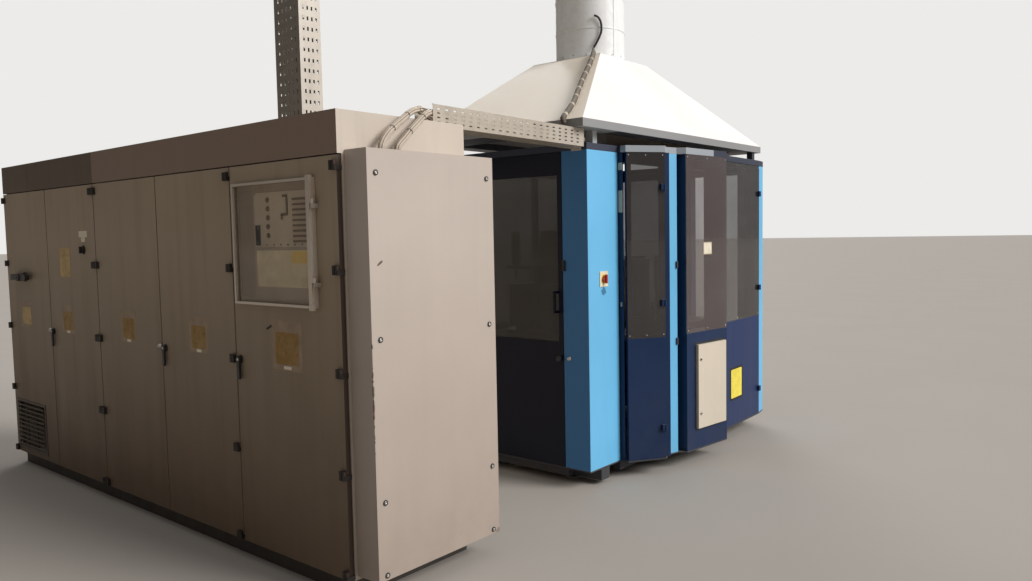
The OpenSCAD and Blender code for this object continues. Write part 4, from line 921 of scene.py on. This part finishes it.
@dataclass
class OperatorWindow(Assembly):
    """The framed window in the fifth door, and the control panel seen through it."""

    face: float = 0.0008
    key_x: float = -0.559
    key_z: Row = (1.913, 1.869, 1.825, 1.781, 1.737)
    bar: Triple = (0.13, 0.004, 0.0105)
    bar_x: float = -0.286
    bar_z: float = 1.909
    bar_pitch: float = 0.0254
    bars: int = 9
    lamp: Triple = (0.009, 0.003, 0.006)
    lamp_x: float = -0.573
    lamp_z: float = 1.69
    lamp_pitch: float = 0.058
    lamps: int = 6
    screw_x: Pair = (-0.67, -0.225)
    screw_z: Pair = (1.945, 1.686)

    def build(self) -> None:
        """Dresses window and panel."""
        self.dress({Coat.WINDOW: "window_frame", Coat.WINDOW_PANE: "window_pane",
                    Coat.PANEL: "operator_panel"})
        for name, (x0, x1), (z0, z1), coat, thick, back in (
                ("panel_upper_plate", (-0.679, -0.217), (1.6795, 1.9515), Coat.PANEL_PALE, 0.0012, 0.0012),
                ("panel_lower_sheet", (-0.671, -0.219), (1.48, 1.6625), Coat.SHEET, 0.001, 0.0017),
                ("panel_side_plate", (-0.821, -0.695), (1.4265, 1.9655), Coat.PANEL_DARK, 0.001, 0.0047),
                ("panel_yellow_field", (-0.37, -0.232), (1.6, 1.658), Coat.FIELD, 0.0014, 0.0012),
                ("panel_display", (-0.6735, -0.6293), (1.6865, 1.7895), Coat.SCREEN, 0.0012, 0.0)):
            plate = patch(x1 - x0, z1 - z0, 0.003, thick)
            self.add(name, plate, coat, "door_5", facing(at((x0 + x1) / 2, back, (z0 + z1) / 2)))
        self.keys()

    def on_panel(self, x: float, out: float, z: float) -> Matrix:
        """Returns the matrix of a place out metres off the panel's face."""
        return facing(at(x, self.face - out, z))

    def keys(self) -> None:
        """Adds the panel's round keys, bars, bracket, lamps and screws."""
        key = ((0.0135, 0), (0.0135, 0.003), (0.011, 0.0045), (0.0105, 0.0068), (0.004, 0.0062))
        keys = [(turned(key, 16), self.on_panel(self.key_x, 0.001, z)) for z in self.key_z]
        self.add("panel_keys", joined(keys), Coat.KEY, "door_5", smooth=True)
        bars = [(slab(*self.bar, 0.0015), self.on_panel(self.bar_x, 0.003, self.bar_z - self.bar_pitch * k))
                for k in range(self.bars)]
        self.add("panel_bar_keys", joined(bars), Coat.KEY, "door_5")
        bracket = [(slab(w, 0.005, h, 0.002), self.on_panel(x, 0.0035, z))
                   for w, h, x, z in ((0.012, 0.09, -0.395, 1.878), (0.04, 0.012, -0.41, 1.928),
                                      (0.05, 0.012, -0.42, 1.838), (0.012, 0.03, -0.44, 1.828))]
        self.add("panel_bracket", joined(bracket), Coat.KEY, "door_5")
        lamps = [(slab(*self.lamp), self.on_panel(self.lamp_x + self.lamp_pitch * k, 0.0025, self.lamp_z))
                 for k in range(self.lamps)]
        self.add("panel_lamps", joined(lamps), Coat.GEAR, "door_5")
        corners = [(screw(0.0035), self.on_panel(x, 0.0012, z)) for x in self.screw_x for z in self.screw_z]
        self.add("panel_screws", joined(corners), Coat.CHROME, "door_5", smooth=True)


def spline(points: Sequence[Vector], steps: int) -> list[Vector]:
    """Lays a smooth line.

    Args:
        points: The points that it goes through.
        steps: How many pieces it has between two of them.

    Returns:
        The line's points.
    """
    line = []
    for i in range(len(points) - 1):
        a, b, c = points[max(i - 1, 0)], points[i], points[i + 1]
        d = points[min(i + 2, len(points) - 1)]
        for k in range(steps):
            t = k / steps
            line.append(0.5 * (2 * b + (c - a) * t + (2 * a - 5 * b + 4 * c - d) * t * t
                               + (3 * b - a - 3 * c + d) * t ** 3))
    return line + [points[-1]]


def even(line: Sequence[Vector], pitch: float) -> list[Vector]:
    """Divides a line evenly.

    Args:
        line: The line's points.
        pitch: The distance wanted, in metres.

    Returns:
        Points at that distance along it, and its end.
    """
    out, rest = [line[0]], pitch
    for a, b in zip(line, line[1:]):
        length, done = (b - a).length, 0.0
        while length - done > rest:
            done += rest
            out.append(a.lerp(b, done / length))
            rest = pitch
        rest -= length - done
    return out + [line[-1]]


def tube(path: Sequence[Vector], radius: Callable[[int], float], sides: int = 8, swing: float = 0.0,
         aside: float = 0.0, turn: float = 0.0) -> Shape:
    """Sweeps a round tube.

    Args:
        path: Its centre line.
        radius: Its radius at each point of the path.
        sides: Its number of sides.
        swing: How far it winds round the path between two points, in radians.
        aside: Its distance from the path.
        turn: Where on the circle round the path it starts, in radians.

    Returns:
        The closed tube.
    """
    shape, rings = bmesh.new(), []
    for i, point in enumerate(path):
        way = (path[min(i + 1, len(path) - 1)] - path[max(i - 1, 0)]).normalized()
        u = way.cross(Vector((1, 0, 0))).normalized()
        v = way.cross(u)
        a = turn + swing * i
        centre = point + aside * (u * math.cos(a) + v * math.sin(a))
        rings.append(circle(shape, centre, u, v, radius(i), sides))
    return skinned(shape, rings)


@dataclass
class CableWay(Assembly):
    """The perforated trays and the bundles between cabinet and machine."""

    start: Triple = (-0.14, 0.755, 2.307)
    length: float = 1.305
    skew: float = math.radians(-2.8)
    drop: float = math.asin(0.027 / length)
    radius: float = 0.017
    sheet: float = 0.002
    strand: float = 0.0057
    strand_aside: float = 0.0112
    strands: int = 6
    twist: float = 0.045
    pitch: float = 0.03
    across: Pair = (0.112, 0.044)
    ties: tuple[int, ...] = (9, 14, 19, 24, 36, 48)
    tie: tuple[Pair, ...] = ((0.0168, -0.0025), (0.0169, -0.0025), (0.0169, 0.0025), (0.0168, 0.0025))
    cap: Triple = (0.0, 0.84, 2.303)
    inner_x: float = 0.072
    inner: tuple[Pair, ...] = ((0.003, 1.85), (0.002, 2.06))
    settle: tuple[Pair, ...] = ((0.06, 0.05), (0.17, 0.012), (0.3, 0.0))
    lie: Pair = (0.315, 0.215)
    leave: tuple[Pair, ...] = ((0.2, 0.0), (0.09, 0.022))
    deck_y: float = 2.12
    deck_z: float = 2.31
    ends: tuple[tuple[Triple, ...], ...] = (
        ((0.072, -0.638, -0.164), (0.066, -0.600, -0.108), (0.056, -0.546, -0.066), (0.040, -0.478, -0.024),
         (0.008, -0.380, 0.030), (-0.074, -0.238, 0.068), (-0.206, -0.132, 0.088)),
        ((0.072, -0.536, -0.164), (0.066, -0.487, -0.118), (0.056, -0.436, -0.074), (0.042, -0.372, -0.026),
         (0.012, -0.292, 0.022), (-0.052, -0.196, 0.052), (-0.142, -0.136, 0.068)))
    bolt_faces: tuple[Pair, ...] = ((-1.245, -90.0), (-1.005, 90.0))
    bolt_y: Pair = (0.585, 0.665)
    bolt_z: float = 2.34
    bolt_out: float = 0.0042

    def build(self) -> None:
        """Dresses the trays and lays the bundles."""
        self.dress({Coat.GALVANISED: "cable_tray tray_brackets", Coat.RISER: "riser_tray"})
        for name, end, across in zip(("left", "right"), self.ends, self.across):
            line = even(self.route(end, across), self.pitch)
            turns = [2 * math.pi * k / self.strands for k in range(self.strands)]
            strands = [tube(line, lambda i: self.strand, 7, self.twist, self.strand_aside, a) for a in turns]
            strands.append(tube(line, lambda i: self.strand, 7))
            bundle = joined([(strand, Matrix()) for strand in strands])
            piece = self.add(f"bundle_{name}", bundle, Coat.BUNDLE, smooth=True)
            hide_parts("cable_bundles")
            ties = joined([(self.tied(line, i), Matrix()) for i in self.ties])
            self.add(f"bundle_ties_{name}", ties, Coat.GASKET)
        self.bolts()

    def in_tray(self, along: float, across: float, up: float = 0.0) -> Vector:
        """Finds a bundle's centre in the tray.

        Args:
            along: Metres along the tray from its start.
            across: Metres across it from its near wall.
            up: Metres over the place where the bundle lies on the tray.

        Returns:
            The place in the row frame.
        """
        r = self.sheet + self.radius + 0.001 + up
        run = along * math.cos(self.drop) + r * math.sin(self.drop)
        return at(self.start[0] - run * math.sin(self.skew) - across * math.cos(self.skew),
                  self.start[1] + run * math.cos(self.skew) - across * math.sin(self.skew),
                  self.start[2] + r * math.cos(self.drop) - along * math.sin(self.drop))

    def route(self, end: Sequence[Triple], across: float) -> list[Vector]:
        """Lays a bundle out of the end cover, over the cap's edge, along the tray and under the hood.

        Args:
            end: Its points over the cap, in metres from the cap's far top edge.
            across: Metres across the tray from its near wall.

        Returns:
            The bundle's line.
        """
        over = [at(*self.cap) + Vector(point) for point in end]
        entry = self.cap[1] + end[0][1]
        inside = [at(self.inner_x, entry - back, z) for back, z in self.inner]
        settling = [self.in_tray(along, across, up) for along, up in self.settle]
        far = self.in_tray(self.length, across)
        deck = Vector((far.x - 0.004, DATUM.y + self.deck_y, self.deck_z + self.radius + 0.008))
        lying = [self.in_tray(along, across) for along in (self.lie[0], self.length - self.lie[1])]
        leaving = [self.in_tray(self.length - rest, across, up) for rest, up in self.leave]
        return spline(inside + over + settling, 8) + spline(lying, 2) + spline(leaving + [deck], 6)

    def tied(self, line: Sequence[Vector], i: int) -> Shape:
        """Makes a cable tie round a bundle.

        Args:
            line: The bundle's line.
            i: The point of the line where it sits.

        Returns:
            The tie.
        """
        way = (line[i + 1] - line[i - 1]).normalized()
        u = way.orthogonal().normalized()
        v = way.cross(u)
        shape = bmesh.new()
        rows = [circle(shape, line[i] + way * off, u, v, out, 16) for out, off in self.tie]
        return skinned(shape, rows, False)

    def bolts(self) -> None:
        """Adds the riser tray's bolts."""
        heads = []
        for x, turn in self.bolt_faces:
            out = math.copysign(self.bolt_out, turn)
            heads += [(screw(0.006), facing(at(x + out, y, self.bolt_z), turn)) for y in self.bolt_y]
        self.add("riser_bolts", joined(heads), Coat.CHROME, smooth=True)


class Guard(Enum):
    """Where each guard element starts, in metres from the datum, and its angle to +Y in degrees."""

    ANGLED = (-0.003, 2.446, 34.0)
    STRIP = (0.12308, 2.77822, 14.0)
    BOX = (0.20324, 2.91813, 6.3)
    SIDE = (0.133, 3.47893, -2.5)

    def place(self, along: float, out: float, z: float) -> Matrix:
        """Finds a place on the element.

        Args:
            along: Metres along it from its start.
            out: Metres out of its face.
            z: The height in metres.

        Returns:
            The place's matrix, with x along the element and -y out of it.
        """
        x, y, angle = self.value
        a = math.radians(angle)
        spot = at(x + along * math.sin(a) + out * math.cos(a), y + along * math.cos(a) - out * math.sin(a), z)
        return facing(spot, 90 - angle)


@dataclass
class GuardedMachine(Assembly):
    """The blue enclosure with its doors, panes, service box and roof; places are metres from the datum."""

    lock_along: float = 0.147
    lock_z: Pair = (0.38, 0.78)
    seal_shade: Triple = (0.398, 0.65, 0.004)
    seal_shade_middle: Pair = (0.3, 0.58)
    box_patch: Pair = (0.27, 1.59)
    side_plate: Pair = (0.455, 0.462)
    switch: Triple = (-0.0649, 2.25934, 1.407)
    pillar_face: float = 2.08
    pillar_lock: Pair = (-0.232, 0.873)
    knob: Pair = (-0.305, 0.87)
    pillar_hinge: Triple = (0.022, 0.016, 0.034)
    pillar_hinge_x: float = -0.265
    pillar_hinge_z: Pair = (1.483, 1.52)
    strip_hinge: Triple = (0.014, 0.012, 0.05)
    strip_hinge_along: float = 0.096
    strip_hinge_z: Pair = (0.93, 1.48)
    gap: Pair = (-0.05, 2.4503)
    gap_brackets: tuple[Triple, ...] = ((0.034, 0.05, 2.17), (0.034, 0.15, 1.93), (0.012, 0.03, 1.22))
    pane_screw_z: Pair = (1.0, 2.245)
    pane_screw_in: float = 0.02

    def build(self) -> None:
        """Dresses the enclosure."""
        self.dress({
            Coat.BASE: "machine_base", Coat.STEEL: "levelling_feet", Coat.MID_BLUE: "side_door",
            Coat.DARK_BLUE: "guard_frame front_door angled_door service_box wall_panels",
            Coat.LIGHT_BLUE: "corner_pillar trim_strips", Coat.SWITCH_PLATE: "switch_plate",
            Coat.SWITCH_RED: "pillar_switch", Coat.SMOKED: "angled_door_pane side_door_pane",
            Coat.SMOKED_SHADED: "front_door_pane", Coat.SMOKED_REFLECTING: "wall_panes",
            Coat.ELEC: "electrical_door", Coat.ROOF: "roof_plate"})
        self.electrical()
        self.stickers()
        self.hardware()
        self.pane_screws()

    def electrical(self) -> None:
        """Adds the dark seal round the electrical door, which is also painted shade in the gap round it, and
        the keyholes of its two locks.
        """
        # Dark sheet behind the door's edges: its seal, and painted shade in the gap round the door
        middle, height = self.seal_shade_middle
        self.add("electrical_seal_shade", patch(*self.seal_shade, 0.0009), Coat.GASKET,
                 move=Guard.BOX.place(middle, 0.0001, height))
        for name, profile, sides, out, coat, smooth in (
                ("electrical_keyholes", ((0.007, 0), (0.007, 0.0015), (0.003, 0.0018), (0.003, 0.0005)), 14,
                 0.0261, Coat.GASKET, False),
                ("electrical_lock_rims", ((0.0145, 0), (0.0145, 0.0012), (0.0115, 0.0018)), 20,
                 0.0221, Coat.CHROME, True)):
            parts = [(turned(profile, sides), Guard.BOX.place(self.lock_along, out, z)) for z in self.lock_z]
            self.add(name, joined(parts), coat, "electrical_door", smooth=smooth)

    def stickers(self) -> None:
        """Adds the plain plates and patches on the machine."""
        for name, plate, coat, body, guard, (along, z), out in (
                ("box_patch", (0.1, 0.082, 0.004), Coat.PAPER, "frame", Guard.BOX, self.box_patch, 0.0003),
                ("box_patch_ground", (0.112, 0.094, 0.005, 0.0004), Coat.GROUND, "frame", Guard.BOX,
                 self.box_patch, 0.0002),
                ("side_plate_edge", (0.262, 0.272, 0.006, 0.0008), Coat.GASKET, "side_guard", Guard.SIDE,
                 self.side_plate, 0.0002),
                ("side_plate", (0.22, 0.236, 0.008, 0.0016), Coat.SWITCH_YELLOW, "side_guard", Guard.SIDE,
                 self.side_plate, 0.0003)):
            self.add(name, patch(*plate), coat, body, guard.place(along, out, z))
        ring = turned(((0.034, 0), (0.034, 0.0012), (0.0265, 0.0012), (0.0265, 0.0002)), 28)
        self.add("switch_ring", ring, Coat.SWITCH_YELLOW, move=facing(at(*self.switch), 90))

    def hardware(self) -> None:
        """Adds the small locks, hinge blocks and brackets."""
        lock = ((0.016, 0), (0.016, 0.003), (0.0125, 0.005), (0.0125, 0.016), (0.008, 0.018), (0.003, 0.0165))
        (x, z), y = self.pillar_lock, self.pillar_face
        self.add("pillar_lock", turned(lock), Coat.CHROME, move=facing(at(x, y, z)), smooth=True)
        knob = ((0.012, 0), (0.012, 0.012), (0.02, 0.018), (0.022, 0.026), (0.018, 0.034), (0.006, 0.037))
        x, z = self.knob
        self.add("front_door_knob", turned(knob), Coat.LEVER, "front_guard", facing(at(x, y, z)), True)
        blocks = [(slab(*self.pillar_hinge, 0.003), facing(at(self.pillar_hinge_x, y - 0.0075, z)))
                  for z in self.pillar_hinge_z]
        self.add("pillar_hinge", joined(blocks), Coat.HINGE)
        hinges = [(slab(*self.strip_hinge, 0.003), Guard.STRIP.place(self.strip_hinge_along, 0.006, z))
                  for z in self.strip_hinge_z]
        self.add("strip_hinges", joined(hinges), Coat.FRAME)
        brackets = [(slab(w, 0.003, h, 0.001), facing(at(*self.gap, z))) for w, h, z in self.gap_brackets]
        self.add("gap_brackets", joined(brackets), Coat.GALVANISED)

    def pane_screws(self) -> None:
        """Adds the screws that hold the panes."""
        for guard, width, body in ((Guard.ANGLED, 0.297, "angled_guard"), (Guard.BOX, 0.53, "frame"),
                                   (Guard.SIDE, 0.96, "side_guard")):
            screws = [(screw(0.0035), guard.place(along, 0.0, z)) for z in self.pane_screw_z
                      for along in (self.pane_screw_in, width / 2, width - self.pane_screw_in)]
            self.add(f"pane_screws_{guard.name.lower()}", joined(screws), Coat.CHROME, body, smooth=True)


@dataclass
class WheelTrain(Assembly):
    """The heating wheel, transfer star and blow wheel behind the panes."""

    def build(self) -> None:
        """Dresses the wheels."""
        self.dress({Coat.MACHINE: "heating_wheel blow_wheel", Coat.OVEN: "oven_modules",
                    Coat.STAR: "transfer_star", Coat.MOULD: "mould_1 mould_2 mould_3 mould_4"})


@dataclass
class ExtractionHood(Assembly):
    """The hood, its frame and duct, the conduit and the cable; places are metres from the datum."""

    base_y: float = 1.97
    slope_z: float = 2.455
    rise: float = 0.635
    depth: float = 1.011
    off: float = 0.023
    duct: Pair = (-0.88533, 3.32601)
    duct_r: float = 0.279
    top_z: float = 3.09
    route: tuple[Pair, ...] = (
        (-0.180, 0.08), (-0.222, 0.2), (-0.310, 0.38), (-0.400, 0.57), (-0.485, 0.76), (-0.543, 0.88),
        (-0.600, 0.985))
    lip: tuple[Pair, ...] = ((-0.150, -0.03), (-0.158, 0.006))
    ring_pitch: float = 0.005
    rib: float = 0.0186
    groove: float = 0.0152
    clip: float = 0.0189
    clips: int = 8
    first_clip: int = 16
    no_clip: int = 24
    cord: float = 0.0088
    straight: Triple = (0.0005, 0.012, 0.024)
    bend: Triple = (-0.042, 0.066, 0.034)
    climb: tuple[Triple, ...] = (
        (-51, 0.075, 0.023), (-46, 0.12, 0.019), (-41, 0.17, 0.017), (-38, 0.215, 0.017),
        (-38, 0.265, 0.017), (-40, 0.3, 0.017), (-44, 0.325, 0.017), (-49, 0.335, 0.017))
    seam: Triple = (0.016, 0.004, 0.76)
    seam_z: float = 3.5
    seam_angles: Pair = (-12, 165)
    rivets: int = 16
    rivet_z: Pair = (3.13, 3.865)

    def build(self) -> None:
        """Dresses the hood."""
        self.dress({Coat.FRAME: "hood_frame", Coat.HOOD: "hood_shell", Coat.DUCT: "hood_duct"})
        self.cable(*self.conduit())
        self.seams()

    def on_slope(self, x: float, t: float, out: float) -> Vector:
        """Returns the place out metres off the hood's front slope, t of the way up it."""
        length = math.hypot(self.depth, self.rise)
        return at(x, self.base_y + t * self.depth - out * self.rise / length,
                  self.slope_z + t * self.rise + out * self.depth / length)

    def on_duct(self, a: float, r: float, z: float) -> Vector:
        """Returns the place at angle a and radius r from the duct's axis."""
        return at(self.duct[0] + r * math.cos(a), self.duct[1] + r * math.sin(a), z)

    def conduit(self) -> tuple[Vector, Vector]:
        """Lays the ribbed conduit up the front slope and clips it down.

        Returns:
            Its upper end, and the way it points there.
        """
        y = self.base_y - self.off
        points = [at(x, y, self.slope_z + z) for x, z in self.lip]
        points += [self.on_slope(x, t, self.off) for x, t in self.route]
        line = even(spline(points, 10), self.ring_pitch)
        shape = tube(line, lambda i: self.rib if i % 3 else self.groove, 14)
        hose = self.add("conduit_hose", shape, Coat.CONDUIT, smooth=True)
        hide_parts("hood_conduit")
        first, run = self.first_clip, len(line) - self.no_clip
        clips = [(tube(line[i - 2:i + 3], lambda k: self.clip, 18), Matrix())
                 for i in range(first, first + run, run // self.clips)]
        self.add("conduit_clips", joined(clips), Coat.CLIP)
        return line[-1], (line[-1] - line[-2]).normalized()

    def cable(self, end: Vector, way: Vector) -> None:
        """Lays the black cable up the duct.

        Args:
            end: The conduit's end, where it starts.
            way: The way that the conduit points there.
        """
        points = [end + length * way for length in self.straight] + [end + Vector(self.bend)]
        points += [self.on_duct(math.radians(angle), self.duct_r + out, self.top_z + z)
                   for angle, z, out in self.climb]
        shape = tube(spline(points, 8), lambda i: self.cord, 12)
        cord = self.add("duct_cord", shape, Coat.CABLE, smooth=True)
        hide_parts("duct_cable")

    def seams(self) -> None:
        """Adds the duct's lock seams and rivets."""
        seams = []
        for a in map(math.radians, self.seam_angles):
            place = facing(self.on_duct(a, self.duct_r + 0.001, self.seam_z), math.degrees(a) + 90)
            seams.append((slab(*self.seam, 0.0015), place))
        self.add("duct_seams", joined(seams), Coat.DUCT)
        rivets = []
        for a in [2 * math.pi * k / self.rivets + 0.1 for k in range(self.rivets)]:
            for z in self.rivet_z:
                place = facing(self.on_duct(a, self.duct_r + LIFT, z), math.degrees(a) + 90)
                rivets.append((screw(0.0055), place))
        self.add("duct_rivets", joined(rivets), Coat.CHROME, smooth=True)


@dataclass
class Studio:
    """The plain floor, the light and the camera."""

    place: Triple = (3.013, -2.365, 1.72)
    right: Triple = (0.7689, 0.6391, -0.0191)
    up: Triple = (-0.0292, 0.0650, 0.9975)
    lens: float = 28.57
    sensor: float = 36.0
    floor_size: float = 150.0
    floor: Colour = (172, 165, 157)
    backdrop: Colour = (236, 235, 233)
    sky: Colour = (250, 248, 246)
    sky_way: Triple = (0.25, 0.35, 0.9)
    sky_strength: Pair = (0.05, 0.66)
    sun_angle: float = 28.0
    suns: tuple[tuple[str, float, Triple], ...] = (
        ("sun", 2.8, (0.80, 0.30, 0.54)), ("rear_sun", 0.8, (-0.55, 0.65, 0.4)))

    def build(self) -> None:
        """Adds floor, light and camera."""
        shape = bmesh.new()
        bmesh.ops.create_grid(shape, x_segments=1, y_segments=1, size=self.floor_size)
        mesh = bpy.data.meshes.new("floor")
        shape.to_mesh(mesh)
        shape.free()
        s = Shader("floor", self.floor)
        s.lay(s.span(s.noise(0.8, 5), 0.35, 0.7, 0.0, 0.5), s.tone(0.93))
        s.close(Roughness=0.8)
        mesh.materials.append(s.material)
        floor = bpy.data.objects.new("floor", mesh)
        bpy.context.scene.collection.objects.link(floor)
        self.world()
        self.light()
        self.camera()

    def world(self) -> None:
        """Adds a sky that is bright overhead for the light, and a plain backdrop for the camera."""
        world = bpy.data.worlds.new("studio")
        web = Web(world)
        nodes = web.tree.nodes
        sky, out = nodes["Background"], nodes["World Output"].inputs["Surface"]
        web.feed(sky.inputs["Color"], linear(self.sky))
        height = web.dot(web.node("ShaderNodeTexCoord").outputs["Generated"], self.sky_way)
        web.feed(sky.inputs["Strength"], web.span(height, 0.0, 1.0, *self.sky_strength))
        seen = web.node("ShaderNodeBackground", Color=linear(self.backdrop))
        camera = web.node("ShaderNodeLightPath").outputs["Is Camera Ray"]
        shown = web.node("ShaderNodeMixShader", camera, sky.outputs["Background"], seen.outputs["Background"])
        web.feed(out, shown.outputs["Shader"])
        bpy.context.scene.world = world

    def light(self) -> None:
        """Adds one soft sun from the cabinet's beige end, and a weak one from behind."""
        for name, energy, way in self.suns:
            sun = bpy.data.lights.new(name, "SUN")
            sun.energy = energy
            sun.angle = math.radians(self.sun_angle)
            lamp = bpy.data.objects.new(name, sun)
            lamp.rotation_euler = Vector(way).to_track_quat("Z", "Y").to_euler()
            bpy.context.scene.collection.objects.link(lamp)

    def camera(self) -> None:
        """Adds the camera at the photograph's place."""
        right, up = Vector(self.right).normalized(), Vector(self.up)
        back = right.cross(up).normalized()
        up = back.cross(right)
        eye = bpy.data.cameras.new("camera")
        eye.lens = self.lens
        eye.sensor_width = self.sensor
        eye.clip_end = 200
        camera = bpy.data.objects.new("camera", eye)
        turn = Matrix((right, up, back)).transposed().to_4x4()
        camera.matrix_world = Matrix.Translation(at(*self.place)) @ turn
        bpy.context.scene.collection.objects.link(camera)
        bpy.context.scene.camera = camera
        bpy.context.scene.view_settings.view_transform = "Standard"


def main() -> None:
    """Builds the scene, one sub-assembly after another."""
    logging.basicConfig(level=logging.INFO, format="%(name)s: %(message)s")
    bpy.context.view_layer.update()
    paints = Paintbox()
    for part in (ControlCabinet(paints), OperatorWindow(paints), CableWay(paints), GuardedMachine(paints),
                 WheelTrain(paints), ExtractionHood(paints)):
        count = len(bpy.data.objects)
        part.build()
        log.info("%s: %d pieces added", type(part).__name__, len(bpy.data.objects) - count)
    Studio().build()


if __name__ == "__main__":
    main()
